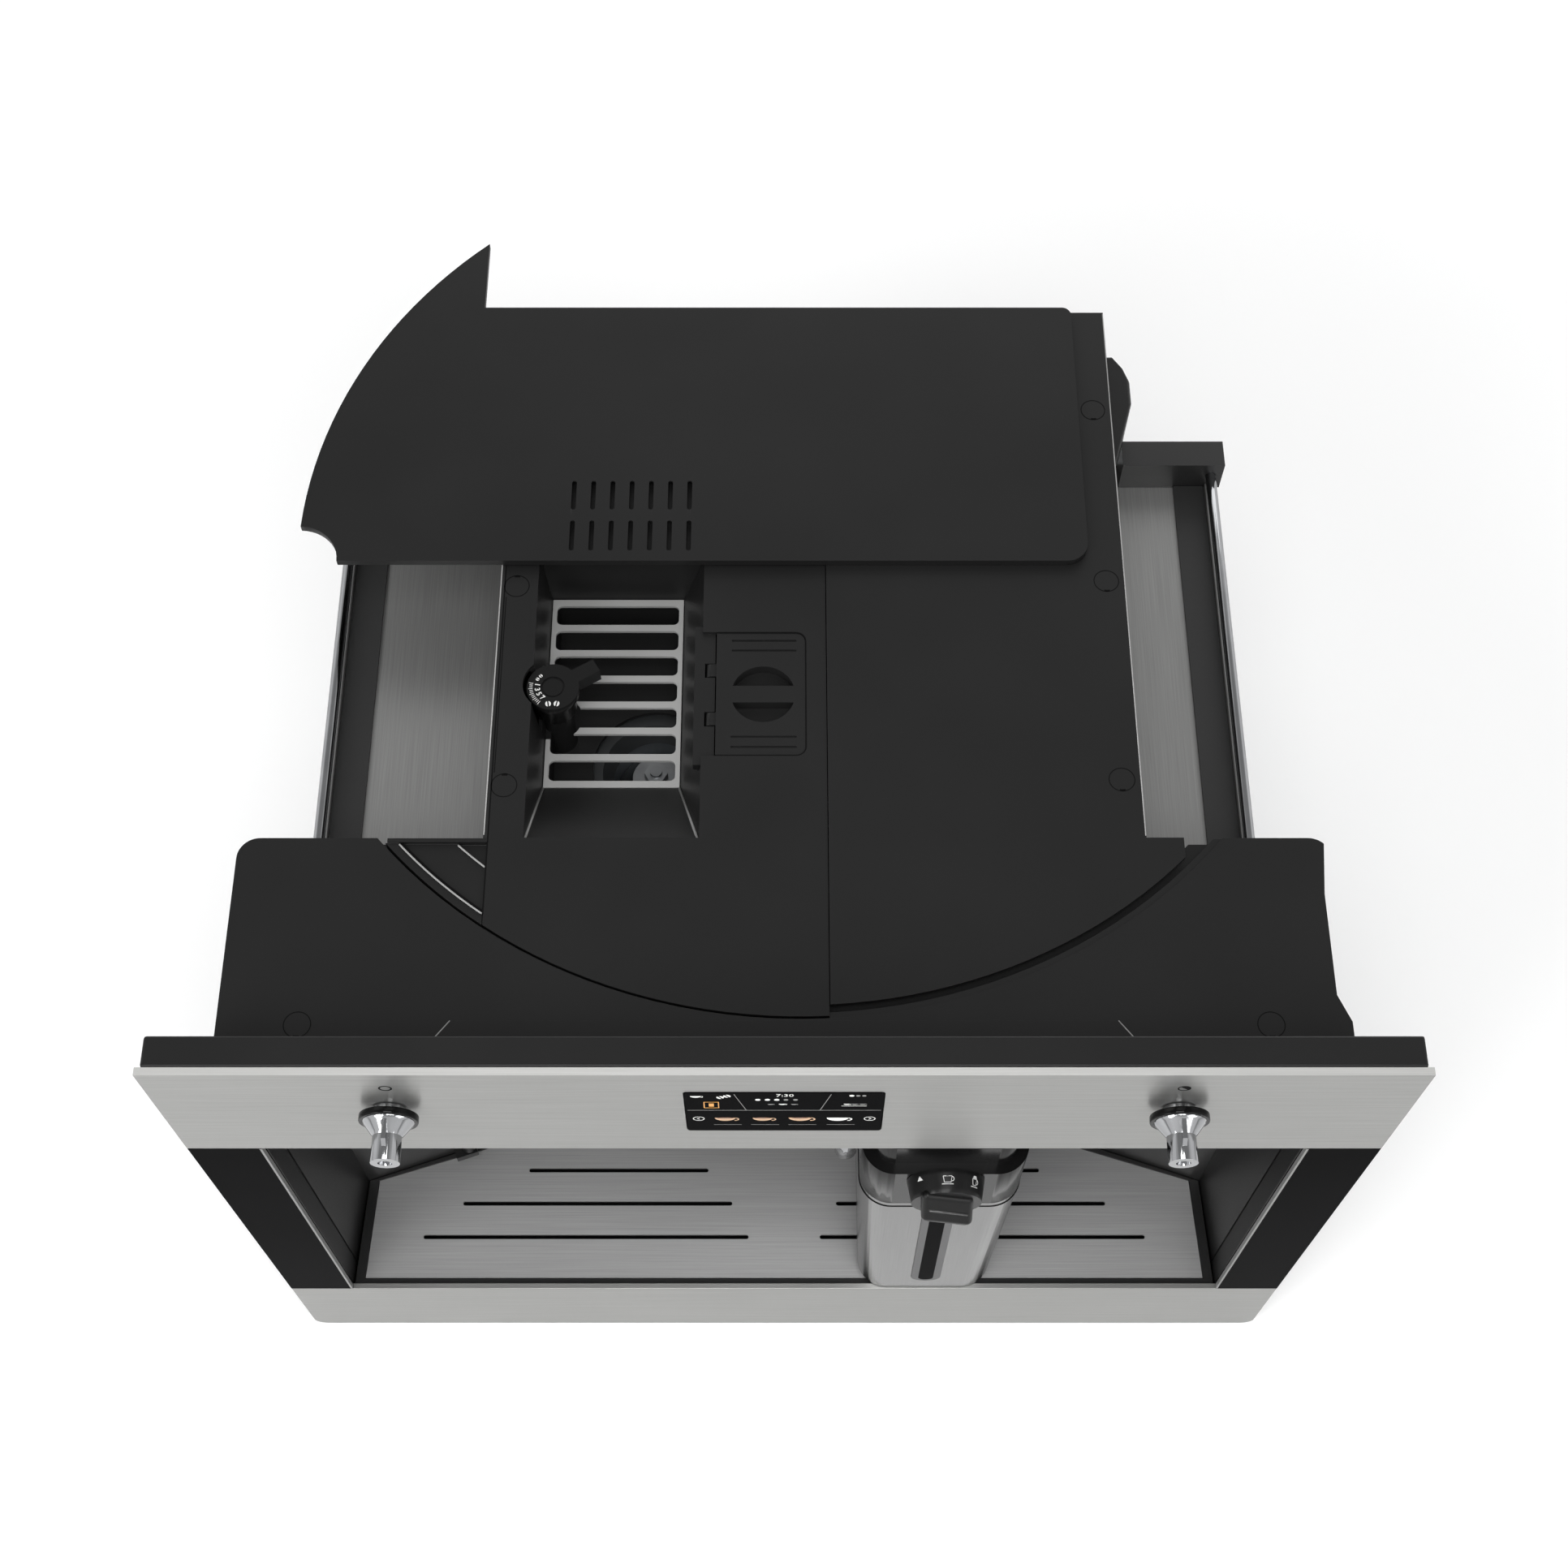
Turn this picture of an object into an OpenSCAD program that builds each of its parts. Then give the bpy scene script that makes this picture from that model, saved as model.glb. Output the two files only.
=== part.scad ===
// Built-in bean-to-cup coffee machine for a 60 cm wide cabinet niche, drawn out on slide rails.
// Pieces are drawn from the front face: X to the right, Y into the cabinet, Z up from the panel's
// lower edge. housed() sets the origin between the four rail screw holes on the niche floor.

/* [Front panel] */
// Width of the steel front
panel_w = 595; // [592:1:600]
// Height of the steel front
panel_h = 455; // [453:1:460]
// Gap from the niche floor to the front's lower edge
panel_lift = 2; // [1.5:0.5:4]
// Depth of the folded steel strips and glass
strip_d = 3.9; // [3:0.1:5]
// Thickness of the folded steel sheet
sheet_t = 1; // [0.8:0.1:1.2]
// Height of the upper steel strip
top_strip_h = 105; // [104:1:108]
// Height of the lower steel strip, the drawer front
low_strip_h = 83; // [82:1:84]
// Width of each black glass side
glass_w = 37; // [36.5:0.5:38]
// Radius of the two lower corners
corner_r = 8; // [4:1:12]

/* [Frame and display] */
// Depth of the black frame behind the strips
frame_d = 15.8; // [15:0.2:18]
// How far the frame stays inside the steel edge
frame_inset = 2.2; // [1.5:0.1:3]
// Wall of the frame round its board pocket
frame_wall = 4; // [3:0.5:5]
// Width of the display glass
display_w = 93.6; // [80:0.2:100]
// Height of the display glass
display_h = 53.5; // [45:0.5:58]
// Depth of the display's middle
display_drop = 49.6; // [47:0.2:52]

/* [Knobs] */
// Distance of each knob from the middle
knob_x = 187; // [150:1:205]
// Depth of the knob axes
dial_drop = 44; // [41:1:50]
// Diameter of the black ring behind each knob
ring_dia = 28.4; // [24:0.2:32]
// Diameter of the gripping cylinder
grip_dia = 14; // [12:0.5:16]
// Distance of the knob's end from the panel
knob_len = 27.5; // [24:0.5:32]
// Diameter of the spigot through the panel
spigot_dia = 6; // [5:0.5:7]

/* [Niche and drawer] */
// How far each glass laps over the niche
glass_lap = 0.5; // [0.3:0.1:1]
// Narrowing of the niche before its bend
niche_step = 3.6; // [2:0.2:11]
// Depth where the niche starts to narrow
niche_bend_y = 68.8; // [60:0.2:75]
// Half width of the niche's flat back wall
niche_back_x = 60; // [55:1:66]
// Depth of the niche's back wall
niche_back_y = 136.7; // [134:0.1:139]
// Wall of the niche moulding
liner_t = 2.2; // [1.8:0.1:2.6]
// Top of the drip grille
grille_z = 78; // [76:0.5:79]
// Thickness of the drip grille
grille_t = 1.5; // [1:0.1:2]
// Underside of the drip basin
basin_z = 34; // [33.6:0.2:38]
// Wall of the drip basin
basin_t = 2.4; // [2:0.1:3]
// Width of the grille's slots
slot_w = 2.7; // [2:0.1:4]

/* [Housing and covers] */
// Width of the housing behind the front
shell_w = 550; // [546:1:554]
// Depth of the housing's rear edge from the front
shell_rear = 143; // [141:0.5:146]
// Depth of the housing's top
shell_drop = 45.5; // [45:0.1:46]
// Wall of the housing and covers
cover_t = 2.6; // [2:0.1:3]
// Distance of the arc's centre from the middle
arc_x = 8; // [6:0.5:10]
// Depth of the arc's centre
arc_y = 327; // [326:0.5:328]
// How far the arc stays inside the housing
arc_in = 1.5; // [0.5:0.5:2.5]
// Left side of the body
body_left = -152; // [-154:0.5:-151]
// Right side of the body
body_right = 181; // [180:0.5:184]
// Depth of the body's rear
body_rear = 478; // [476:1:482]
// Seam between the middle and right covers
seam_x = 22; // [18:0.5:24]
// Middle cover, lower than the housing
mid_step = 0.5; // [0.3:0.1:0.9]
// Right cover, higher than the housing
right_step = 0.5; // [0.3:0.1:0.7]
// Groove between the right cover and the housing
groove_w = 7; // [4:0.5:8]
// Diameter of the screw plugs
plug_dia = 13; // [11:0.5:14]
// Thickness of the body's sheet walls
wall_t = 1.2; // [1:0.1:1.4]

/* [Sliding hopper cover] */
// Depth of the plate's front edge
plate_front = 306; // [305:0.5:310]
// Thickness of the plate's folded edge
plate_h = 4.2; // [3:0.2:5]
// Right edge of the plate
plate_right = 163.5; // [160:0.5:165]
// Radius of the plate's left edge
plate_r = 273.5; // [272:0.5:275]
// Depth of the tip at the plate's rear left
plate_tip = 527; // [520:1:530]
// Radius of the quarter notch at its front left
notch_r = 22; // [18:1:26]

/* [Bean hopper and grinder] */
// Left edge of the hopper's mouth
hop_left = -131.7; // [-133:0.1:-131]
// Right edge of the hopper's mouth
hop_right = -43; // [-45:0.5:-42.5]
// Front edge of the hopper's mouth
hop_front = 143.4; // [141:0.2:146]
// Rear edge of the hopper's mouth
hop_rear = 314; // [312:0.5:316]
// Depth of the grate under the cover
grate_drop = 37; // [35:0.5:39]
// Thickness of the grate
grate_t = 2; // [1.5:0.1:2.5]
// Bars across the grate
grate_bars = 8; // [6:1:9]
// Middle of the burrs, sideways
burr_x = -70; // [-72:0.5:-69]
// Middle of the burrs, depth
burr_y = 216.3; // [214:0.1:218]
// Tooth size of the adjusting gears
gear_module = 1.5; // [1.45:0.01:1.52]
// Teeth on the knob's pinion
pinion_teeth = 16; // [16:1:16]
// Teeth on the adjusting ring
ring_teeth = 56; // [56:2:56]
// Diameter of the grind knob
dial_dia = 27.5; // [26:0.5:29]
// Diameter of the grinder motor
motor_dia = 64; // [56:1:66]

/* [Ground coffee funnel] */
// Left edge of the funnel's door
door_left = -35.6; // [-36:0.1:-35.2]
// Right edge of the funnel's door
door_right = 11; // [9:0.2:12]
// Front edge of the funnel's door
door_front = 191; // [190:0.5:193]
// Rear edge of the funnel's door
door_rear = 264; // [262:0.5:266]
// Diameter of the finger dish
dish_dia = 33.4; // [30:0.2:34]
// Width of the bar across the dish
dish_bar = 10; // [8:0.5:12]

/* [Cup racks] */
// Depth of the rack floors
rack_drop = 72.5; // [70.5:0.5:74.5]
// Distance of the chrome rods from the middle
rod_x = 248.2; // [247.8:0.1:249.5]
// Height of the rods over the racks
rod_rise = 13; // [10:0.5:16]
// Diameter of the chrome rods
rod_dia = 6; // [5:0.5:7]
// Depth of the rear end of the racks
rack_rear = 424; // [422:1:426]
// Length of the rear brackets along the rods
bracket_d = 17; // [14:0.5:18]

/* [Milk carafe] */
// Middle of the carafe
carafe_x = 84; // [83.5:0.1:84.5]
// Width of the carafe's foot
foot_w = 79.5; // [78:0.5:81]
// Width of the carafe at its lid
neck_w = 87; // [84:0.5:88]
// Depth of the carafe from front to back
carafe_d = 97; // [94:0.5:98]
// Height of the carafe's foot
carafe_z = 85; // [84.5:0.1:86]
// Room above the carafe
carafe_room = 22; // [19:0.5:25]
// Height of the lid's steel band
band_h = 50; // [46:0.5:52]
// Height of the lid's black top
cap_h = 23; // [18:0.5:26]
// Diameter of the foam dial
foam_dia = 40.5; // [39:0.5:42]
// Length of the foam dial
foam_len = 12; // [11:0.5:14]

/* [Spout] */
// Width of the coffee spout
spout_w = 48; // [44:0.5:49]
// Distance from the front to the spout's nose
spout_front = 50.5; // [50:0.5:54]
// From the niche's ceiling to the spout's underside
spout_drop = 144; // [140:1:146]
// Height of the spout's body
spout_h = 84; // [76:1:88]
// How far the spout can be pulled down
spout_travel = 45; // [30:1:48]

/* [Slide rails] */
// Length of each rail
rail_len = 450; // [440:5:450]
// Depth of the rails' front end
rail_y = 25; // [24:1:26]
// Height of each rail
rail_h = 30; // [28:0.5:31]
// Outer face of each rail from the middle
rail_x = 264; // [263:0.5:265]
// Running gap between rail members
rail_gap = 0.6; // [0.5:0.05:0.7]
// Distance of the screw holes from the middle
hole_x = 271; // [270.5:0.5:272]
// Distance between the front and rear screw holes
hole_span = 390; // [300:5:400]
// Diameter of the screw holes
hole_dia = 4.5; // [4:0.1:5.5]

/* [Brew unit, tank and pump] */
// Brewing axis, sideways
brew_x = -13; // [-14:0.5:-12]
// Depth of the brewing axis
brew_y = 285; // [284:0.5:286]
// Outer diameter of the brewing chamber
chamber_dia = 56; // [52:1:57]
// Bore of the brewing chamber
chamber_bore = 45; // [40:1:46]
// Height of the brewing chamber
chamber_h = 55; // [50:1:58]
// Underside of the brewing chamber at rest
chamber_z = 125; // [120:1:128]
// Travel of the brewing chamber
brew_travel = 60; // [50:1:61]
// Left side of the water tank
tank_left = 100; // [99:1:110]
// Front of the water tank
tank_front = 303; // [302:0.5:310]
// Rear of the water tank
tank_rear = 467; // [460:0.5:468]
// Room over the water tank
tank_drop = 10; // [9:1:27]
// Wall of the water tank
tank_t = 2.5; // [2:0.1:3]

// Left side of the grounds container
grounds_left = -140; // [-145:1:-120]
// Right side of the grounds container
grounds_right = 15; // [0:1:40]
// Front of the grounds container
grounds_front = 146; // [144:1:160]
// Rear of the grounds container
grounds_rear = 296; // [270:1:300]
// Top of the grounds container
grounds_top = 76; // [70:0.5:76.5]

/* [Hidden] */
$fn = 96;

// Overrun of every cut, and the two gaps that repeat: round a moving piece and at a seat
cut = 1;
gap = 0.6;
seat = 0.3;

// Colours
satin = "#2b2b2b";
jet = "#161616";
steel = "#b9b9b7";
bright_steel = "#d2d2d0";
chrome = "#e2e4e6";
zinc = "#9fa3a6";
clear_grey = "#a9b4b8";

// Places worked out from the sizes above
half_w = panel_w/2;
frame_front = strip_d;
frame_back = strip_d + frame_d;
frame_half = half_w - frame_inset;
mouth_top = panel_h - top_strip_h;
niche_half = half_w - glass_w + glass_lap;
niche_bend_x = niche_half - niche_step;
display_z = panel_h - display_drop;
knob_z = panel_h - dial_drop;
shell_top = panel_h - shell_drop;
mid_top = shell_top - mid_step;
right_top = shell_top + right_step;
grate_z = mid_top - grate_drop;
rack_z = shell_top - rack_drop;
rod_z = rack_z + rod_rise;
tank_top = rack_z - tank_drop;
spout_z = mouth_top - spout_drop;
lid_z = mouth_top - carafe_room - cap_h - band_h;
hole_mid_y = rail_y + rail_len/2;
shell_half = shell_w/2;
arc_r = shell_half + arc_x - arc_in;
cover_low = mid_top - cover_t;
body_top = cover_low - seat;

// Sheet floor of the machine, between the rails
pan_z = 10;
pan_t = 1.5;
pan_half = 240;
pan_flange = 17;
pan_front = frame_back + gap;
pan_top = pan_z + pan_t;

// Moves a piece from the front's frame to the frame of the rail screw holes
module housed() translate([0, -hole_mid_y, panel_lift]) children();

// Draws a piece and its twin on the left
module both_sides() {
  children();
  mirror([1, 0, 0]) children();
}

// Box from its lowest to its highest corner
module block(lo, hi) translate(lo) cube(hi - lo);

// Cylinder along Y from y0 to y1
module rod_y(x, y0, y1, z, d) translate([x, y0, z]) rotate([-90, 0, 0]) cylinder(h = y1 - y0, d = d);

// Cylinder along X from x0 to x1
module rod_x_axis(x0, x1, y, z, d) translate([x0, y, z]) rotate([0, 90, 0]) cylinder(h = x1 - x0, d = d);

// Upright cylinder from z0 to z1
module post(x, y, z0, z1, d) translate([x, y, z0]) cylinder(h = z1 - z0, d = d);

// Rectangle with four round corners
module rounded(x0, y0, x1, y1, r) {
  translate([x0 + r, y0]) square([x1 - x0 - 2*r, y1 - y0]);
  translate([x0, y0 + r]) square([x1 - x0, y1 - y0 - 2*r]);
  for (x = [x0 + r, x1 - r], y = [y0 + r, y1 - r]) translate([x, y]) circle(r);
}

// Long hole with round ends along X
module slot_x(x0, x1, y, w) {
  translate([x0 + w/2, y - w/2]) square([x1 - x0 - w, w]);
  for (x = [x0 + w/2, x1 - w/2]) translate([x, y]) circle(d = w);
}

// Upright sheet shape in the XZ plane, from y0 to y1
module stand_up(y0, y1) translate([0, y1, 0]) rotate([90, 0, 0]) linear_extrude(y1 - y0) children();

// Level sheet shape from z0 to z1
module level(z0, z1) translate([0, 0, z0]) linear_extrude(z1 - z0) children();

// Slide rails: the outer member screwed to the cabinet, with its foot on the niche floor
rail_t = 1.6;
lip_w = 6;
rail_z = -panel_lift;
foot_out = 279;
rail_end = rail_y + rail_len;
fixed_web = rail_x - rail_t;
mid_outer = fixed_web - rail_gap;
mid_web = mid_outer - rail_t;
mid_lo = rail_z + rail_t + rail_gap;
mid_hi = rail_z + rail_h - rail_t - rail_gap;
mid_lip = 8;
inner_outer = mid_web - rail_gap;
inner_t = 2.4;
inner_lo = mid_lo + rail_t + rail_gap;
inner_hi = mid_hi - rail_t - rail_gap;
arm_lo = 11;
arm_hi = 14;

module fixed_rails() color(zinc) housed() both_sides() difference() {
  union() {
    block([fixed_web, rail_y, rail_z], [rail_x, rail_end, rail_z + rail_h]);
    block([fixed_web - lip_w, rail_y, rail_z + rail_h - rail_t], [fixed_web, rail_end, rail_z + rail_h]);
    block([fixed_web - lip_w, rail_y, rail_z], [foot_out, rail_end, rail_z + rail_t]);
  }
  for (side = [-1, 1]) post(hole_x, hole_mid_y + side*hole_span/2, rail_z - cut, rail_z + rail_t + cut,
    hole_dia);
}

module middle_rails() color(zinc) housed() both_sides() {
  block([mid_web, rail_y, mid_lo], [mid_outer, rail_end, mid_hi]);
  block([mid_web - mid_lip, rail_y, mid_hi - rail_t], [mid_web, rail_end, mid_hi]);
  block([mid_web - mid_lip, rail_y, mid_lo], [mid_web, rail_end, mid_lo + rail_t]);
}

module inner_rails() color(zinc) housed() both_sides() {
  block([inner_outer - inner_t, rail_y, inner_lo], [inner_outer, rail_end, inner_hi]);
  block([pan_half, rail_y, arm_lo], [inner_outer - inner_t, rail_end, arm_hi]);
  block([pan_half, rail_y, arm_lo], [pan_half + rail_t, rail_end, pan_top + pan_flange]);
}

// Base pan: folded sheet, a cross bar under the drawer bay, the tank's raised seat
bar_d = 8;
bar_rear = 118;
tank_floor = 50;
tank_seat_z = tank_floor - seat;
liner_floor = basin_z - seat - liner_t;

module base_pan() color(zinc) housed() {
  block([-pan_half, pan_front, pan_z], [pan_half, body_rear - wall_t, pan_top]);
  both_sides() block([pan_half - pan_t, pan_front, pan_z],
    [pan_half, body_rear - wall_t, pan_top + pan_flange]);
  for (y = [pan_front, bar_rear]) block([-pan_half, y, pan_top], [pan_half, y + bar_d, liner_floor]);
  block([bay_left, bay_rear - bar_d, pan_top], [bay_right, bay_rear, basin_z - seat]);
  block([tank_left, tank_front, tank_seat_z - pan_t], [body_right - wall_t - gap, tank_rear, tank_seat_z]);
  for (y = [tank_front, tank_rear - pan_t]) block([tank_left, y, pan_top],
    [body_right - wall_t - gap, y + pan_t, tank_seat_z - pan_t]);
}

// Sheet walls of the body
trim_h = 14;
trim_w = 2.3;
wall_front = shell_rear + seat;
inlet_x = -105;
inlet_z = 70;
inlet_w = 60;
inlet_h = 32;
vent_pitch = 12;
vent_w = 5;
vent_len = 60;
vent_x = 20;
vent_drop = 106.1;
vent_z = body_top - vent_drop;
vent_rows = 7;
tank_cut = 1;
bay_left = grounds_left - seat - basin_t;
bay_right = grounds_right + seat + basin_t;
bay_rear = grounds_rear + seat + basin_t;
bay_rim = 10;
bay_start = niche_bend_y;

module rear_panel() color(satin) housed() difference() {
  block([body_left, body_rear - wall_t, pan_z], [body_right, body_rear, body_top]);
  block([inlet_x - inlet_w/2, body_rear - wall_t - cut, inlet_z - inlet_h/2],
    [inlet_x + inlet_w/2, body_rear + cut, inlet_z + inlet_h/2]);
  stand_up(body_rear - wall_t - cut, body_rear + cut)
    for (i = [0 : vent_rows - 1]) slot_x(vent_x, vent_x + vent_len, vent_z + i*vent_pitch, vent_w);
}

module left_wall() color(satin) housed() {
  block([body_left, wall_front, pan_top], [body_left + wall_t, body_rear - wall_t, body_top]);
  block([body_left, wall_front, mid_top - trim_h], [body_left + trim_w, body_rear - wall_t, mid_top]);
}

module right_wall() color(satin) housed() difference() {
  block([body_right - wall_t, wall_front, pan_top], [body_right, body_rear - wall_t, body_top]);
  block([body_right - wall_t - cut, tank_front - tank_cut, tank_floor - tank_cut],
    [body_right + cut, tank_rear + tank_cut, tank_top + tank_cut]);
}

// Bulkhead: upright sheet that carries grinder, brew unit, heater and board
bulk_y = 322;
bulk_t = 1.5;
bulk_left = body_left + trim_w + seat;
bulk_right = tank_left - seat;

module bulkhead() color(zinc) housed() block([bulk_left, bulk_y, pan_top],
  [bulk_right, bulk_y + bulk_t, body_top - gap]);

// Housing behind the front: top with a hollow arc, sides, and rear walls beside the body
back_r = 11;
inset_half = 161.5;
inset_spread = 19;
inset_y = 44.2;
inset_h = 1;
shell_low = 50;
shell_plug_x = 235.5;
shell_plug_y = 42.5;
ledge_w = 12;
ledge_drop = 5;
ledge_t = 2;
waist_d = 6;
waist_from = 58;
waist_to = 112;
waist_end = 14;
right_lip_w = 3.5;
right_lip_drop = 1.2;
plug_gap = 0.2;
plug_h = 1.6;
plug_deep = 1.8;

module arc_disc(r) translate([arc_x, arc_y]) circle(r);

module shell_outline() difference() {
  union() {
    translate([-shell_half, frame_back]) square([shell_w, shell_rear - frame_back - back_r]);
    translate([-shell_half + back_r, frame_back]) square([shell_w - 2*back_r, shell_rear - frame_back]);
    for (x = [-shell_half + back_r, shell_half - back_r])
      translate([x, shell_rear - back_r]) circle(back_r);
  }
  polygon([[shell_half, waist_from - waist_end], [shell_half - waist_d, waist_from],
    [shell_half - waist_d, waist_to], [shell_half - waist_d/2, shell_rear],
    [shell_half + cut, shell_rear + cut], [shell_half + cut, waist_from - waist_end]]);
}

module shell_top_shape() difference() {
  shell_outline();
  arc_disc(arc_r);
}

module shell_inset() polygon([[-inset_half, inset_y], [inset_half, inset_y],
  [inset_half + inset_spread, frame_back], [-inset_half - inset_spread, frame_back]]);

module front_housing() color(satin) housed() difference() {
  union() {
    level(shell_top - cover_t, shell_top) shell_top_shape();
    level(shell_top, shell_top + inset_h) shell_inset();
    for (side = [-1, 1]) block([side*(shell_half - waist_d - cover_t/2) - cover_t/2, frame_back, shell_low],
      [side*(shell_half - waist_d - cover_t/2) + cover_t/2, shell_rear - back_r, shell_top - cover_t]);
    block([-shell_half + waist_d, shell_rear - back_r - cover_t, shell_low],
      [body_left, shell_rear - back_r, shell_top - cover_t - ledge_drop - ledge_t]);
    block([body_right, shell_rear - back_r - cover_t, shell_low],
      [shell_half - waist_d, shell_rear - back_r, shell_top - cover_t - ledge_drop - ledge_t]);
    level(shell_top - cover_t - ledge_drop - ledge_t, shell_top - cover_t - ledge_drop) difference() {
      shell_outline();
      arc_disc(arc_r - ledge_w);
    }
    level(shell_top - cover_t - ledge_drop, shell_top - cover_t) difference() {
      intersection() {
        shell_outline();
        arc_disc(arc_r + cover_t);
      }
      arc_disc(arc_r);
    }
    level(shell_top - cover_t, shell_top - right_lip_drop) difference() {
      intersection() {
        shell_outline();
        arc_disc(arc_r + cover_t);
        translate([seam_x, frame_back]) square([shell_half - seam_x, shell_rear - frame_back]);
      }
      arc_disc(arc_r - right_lip_w);
    }
  }
  for (x = [-shell_plug_x, shell_plug_x]) post(x, shell_plug_y, shell_top - plug_deep, shell_top + cut,
    plug_dia + 2*plug_gap);
}

// Middle cover with the hopper's mouth, the grind knob's clearance and the funnel's opening
left_plug_x = -143.1;
mid_left = body_left + trim_w + seat;
knob_clear = 1.8;
knob_dist = gear_module*(pinion_teeth + ring_teeth)/2;
knob_drop = 16.9;
grind_x = burr_x - sqrt(knob_dist*knob_dist - knob_drop*knob_drop);
grind_y = burr_y + knob_drop;
hinge_in = 3;
hinge_x = door_left - hinge_in;
hinge_drop = 4;
hinge_z = mid_top - hinge_drop;
block_w = 8.5;
block_left = hinge_x - block_w;
block_out = 5;
block_h = 5.4;
block_drop = 1.9;
block_top = mid_top - block_drop;
hinge_share = [0.3, 0.7];
knuckle_w = 8;
knuckle_dia = 4.8;
stub_dia = 2.4;
stub_len = 2;
stub_gap = 0.08;
mid_seam = 1.5;
skirt_h = 9;
door_r = 5;
left_plug_shares = [0.09, 0.449];
right_plug_shares = [0.0985, 0.457, 0.794];
plug_inset = 8.5;

function plug_y(share) = shell_rear + (body_rear - shell_rear)*share;
function hinge_y(i) = door_front + (door_rear - door_front)*hinge_share[i];

module mid_cover() color(satin) housed() difference() {
  union() {
    level(cover_low, mid_top) intersection() {
      translate([mid_left, 0]) square([seam_x - mid_left, body_rear - wall_t - seat]);
      arc_disc(arc_r - mid_seam);
    }
    block([block_left, door_front - block_out, block_top - block_h],
      [door_left - gap, door_rear + block_out, block_top]);
    for (y = [door_front - block_out, door_rear + gap])
      block([hop_right, y, block_top - block_h], [door_left - gap, y + block_out - gap,
      cover_low + cover_t/2]);
  }
  difference() {
    block([hop_left, hop_front, cover_low - cut], [hop_right, hop_rear, mid_top + cut]);
    block([block_left, door_front - block_out, block_top - block_h],
      [hop_right, door_rear + block_out, block_top]);
  }
  post(grind_x, grind_y, cover_low - cut, mid_top + cut, dial_dia + 2*knob_clear);
  level(cover_low - cut, mid_top + cut) {
    rounded(door_left - gap, door_front - gap, door_right + gap, door_rear + gap, door_r + gap);
    translate([door_left - gap, door_front - gap]) square([door_r*2, door_rear - door_front + 2*gap]);
  }
  block([hop_right - cut, door_front - gap, block_top], [door_left, door_rear + gap, mid_top + cut]);
  for (i = [0, 1]) {
    block([hinge_x - knuckle_dia/2 - gap, hinge_y(i) - knuckle_w/2 - gap/2, block_top - block_h - cut],
      [door_left, hinge_y(i) + knuckle_w/2 + gap/2, mid_top + cut]);
    rod_y(hinge_x, hinge_y(i) - knuckle_w/2 - stub_len - gap/2, hinge_y(i) + knuckle_w/2 + stub_len + gap/2,
      hinge_z, stub_dia + 2*stub_gap);
  }
  for (share = left_plug_shares) post(left_plug_x, plug_y(share), mid_top - plug_deep, mid_top + cut,
    plug_dia + 2*plug_gap);
}

// Right cover: from the groove to the rear, with a skirt over the body's right wall
right_seam = 0.4;
cover_edge = body_right + seat + cover_t/2;
wing_x = 204;
right_floor = right_top - cover_t;

module right_cover() color(satin) housed() difference() {
  union() {
    level(right_floor, right_top) intersection() {
      translate([seam_x + right_seam, 0]) square([cover_edge - seam_x - right_seam, body_rear]);
      arc_disc(arc_r - groove_w);
    }
    level(right_floor, right_top) intersection() {
      translate([cover_edge - cover_t, 0]) square([wing_x - cover_edge, shell_rear]);
      arc_disc(arc_r - groove_w);
    }
    block([body_right + seat, shell_rear, right_floor - skirt_h], [cover_edge, body_rear, right_floor]);
    block([seam_x + right_seam, arc_y - arc_r/2, body_top - seat],
      [seam_x + right_seam + cover_t, body_rear - wall_t - seat, right_floor]);
  }
  for (share = right_plug_shares) post(body_right - plug_inset, plug_y(share), right_top - plug_deep,
    right_top + cut, plug_dia + 2*plug_gap);
}

// Ribbed corner cover left of the body, inside the arc, with a lip bar at its rear
corner_left = -206;
rib_drop = 1.3;
rib_in = 5.2;
rib_pitch = 21;
lip_from = -200;
corner_right = mid_left - seat;
lip_d = 2.2;
lip_h = 1;
corner_drop = 1;
corner_top = shell_top - corner_drop;
corner_seat = shell_top - cover_t - ledge_drop + seat;

function rib_radius(i) = arc_r - mid_seam - (i > 0 ? rib_in : 0) - (i > 1 ? rib_pitch : 0);

module corner_cover() color(satin) housed() {
  for (i = [0 : 2]) level(i == 0 ? corner_seat : corner_top - cover_t - i*rib_drop, corner_top - i*rib_drop)
    difference() {
    intersection() {
      translate([corner_left, 0]) square([corner_right - corner_left, shell_rear - lip_d]);
      arc_disc(rib_radius(i));
    }
    if (i < 2) arc_disc(rib_radius(i + 1));
  }
  block([lip_from, shell_rear - lip_d, corner_top - cover_t - lip_h],
    [corner_right, shell_rear, corner_top + lip_h]);
}

// Plugs over the cover screws, flush with the covers
module screw_plugs() color(satin) housed() {
  for (share = left_plug_shares) post(left_plug_x, plug_y(share), mid_top - plug_h, mid_top, plug_dia);
  for (share = right_plug_shares) post(body_right - plug_inset, plug_y(share), right_top - plug_h,
    right_top, plug_dia);
  for (x = [-shell_plug_x, shell_plug_x]) post(x, shell_plug_y, shell_top - plug_h, shell_top, plug_dia);
}

// Black frame: one moulding with the niche mouth below and a pocket for the board above
frame_back_t = 2.2;
pocket_wall = 7.3;
pocket_half = frame_half - pocket_wall;
pocket_low = mouth_top + frame_wall;
frame_foot = 3;

module front_frame() color(satin) housed() difference() {
  block([-frame_half, frame_front, frame_foot], [frame_half, frame_back, panel_h]);
  block([-niche_half, frame_front - cut, liner_floor], [niche_half, frame_back + cut, mouth_top]);
  block([-pocket_half, frame_front - cut, pocket_low], [pocket_half, frame_back - frame_back_t,
    panel_h - frame_wall]);
}

// Upper steel strip: sheet with all four edges folded back
hole_gap = 0.5;
display_r = 2;

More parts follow.
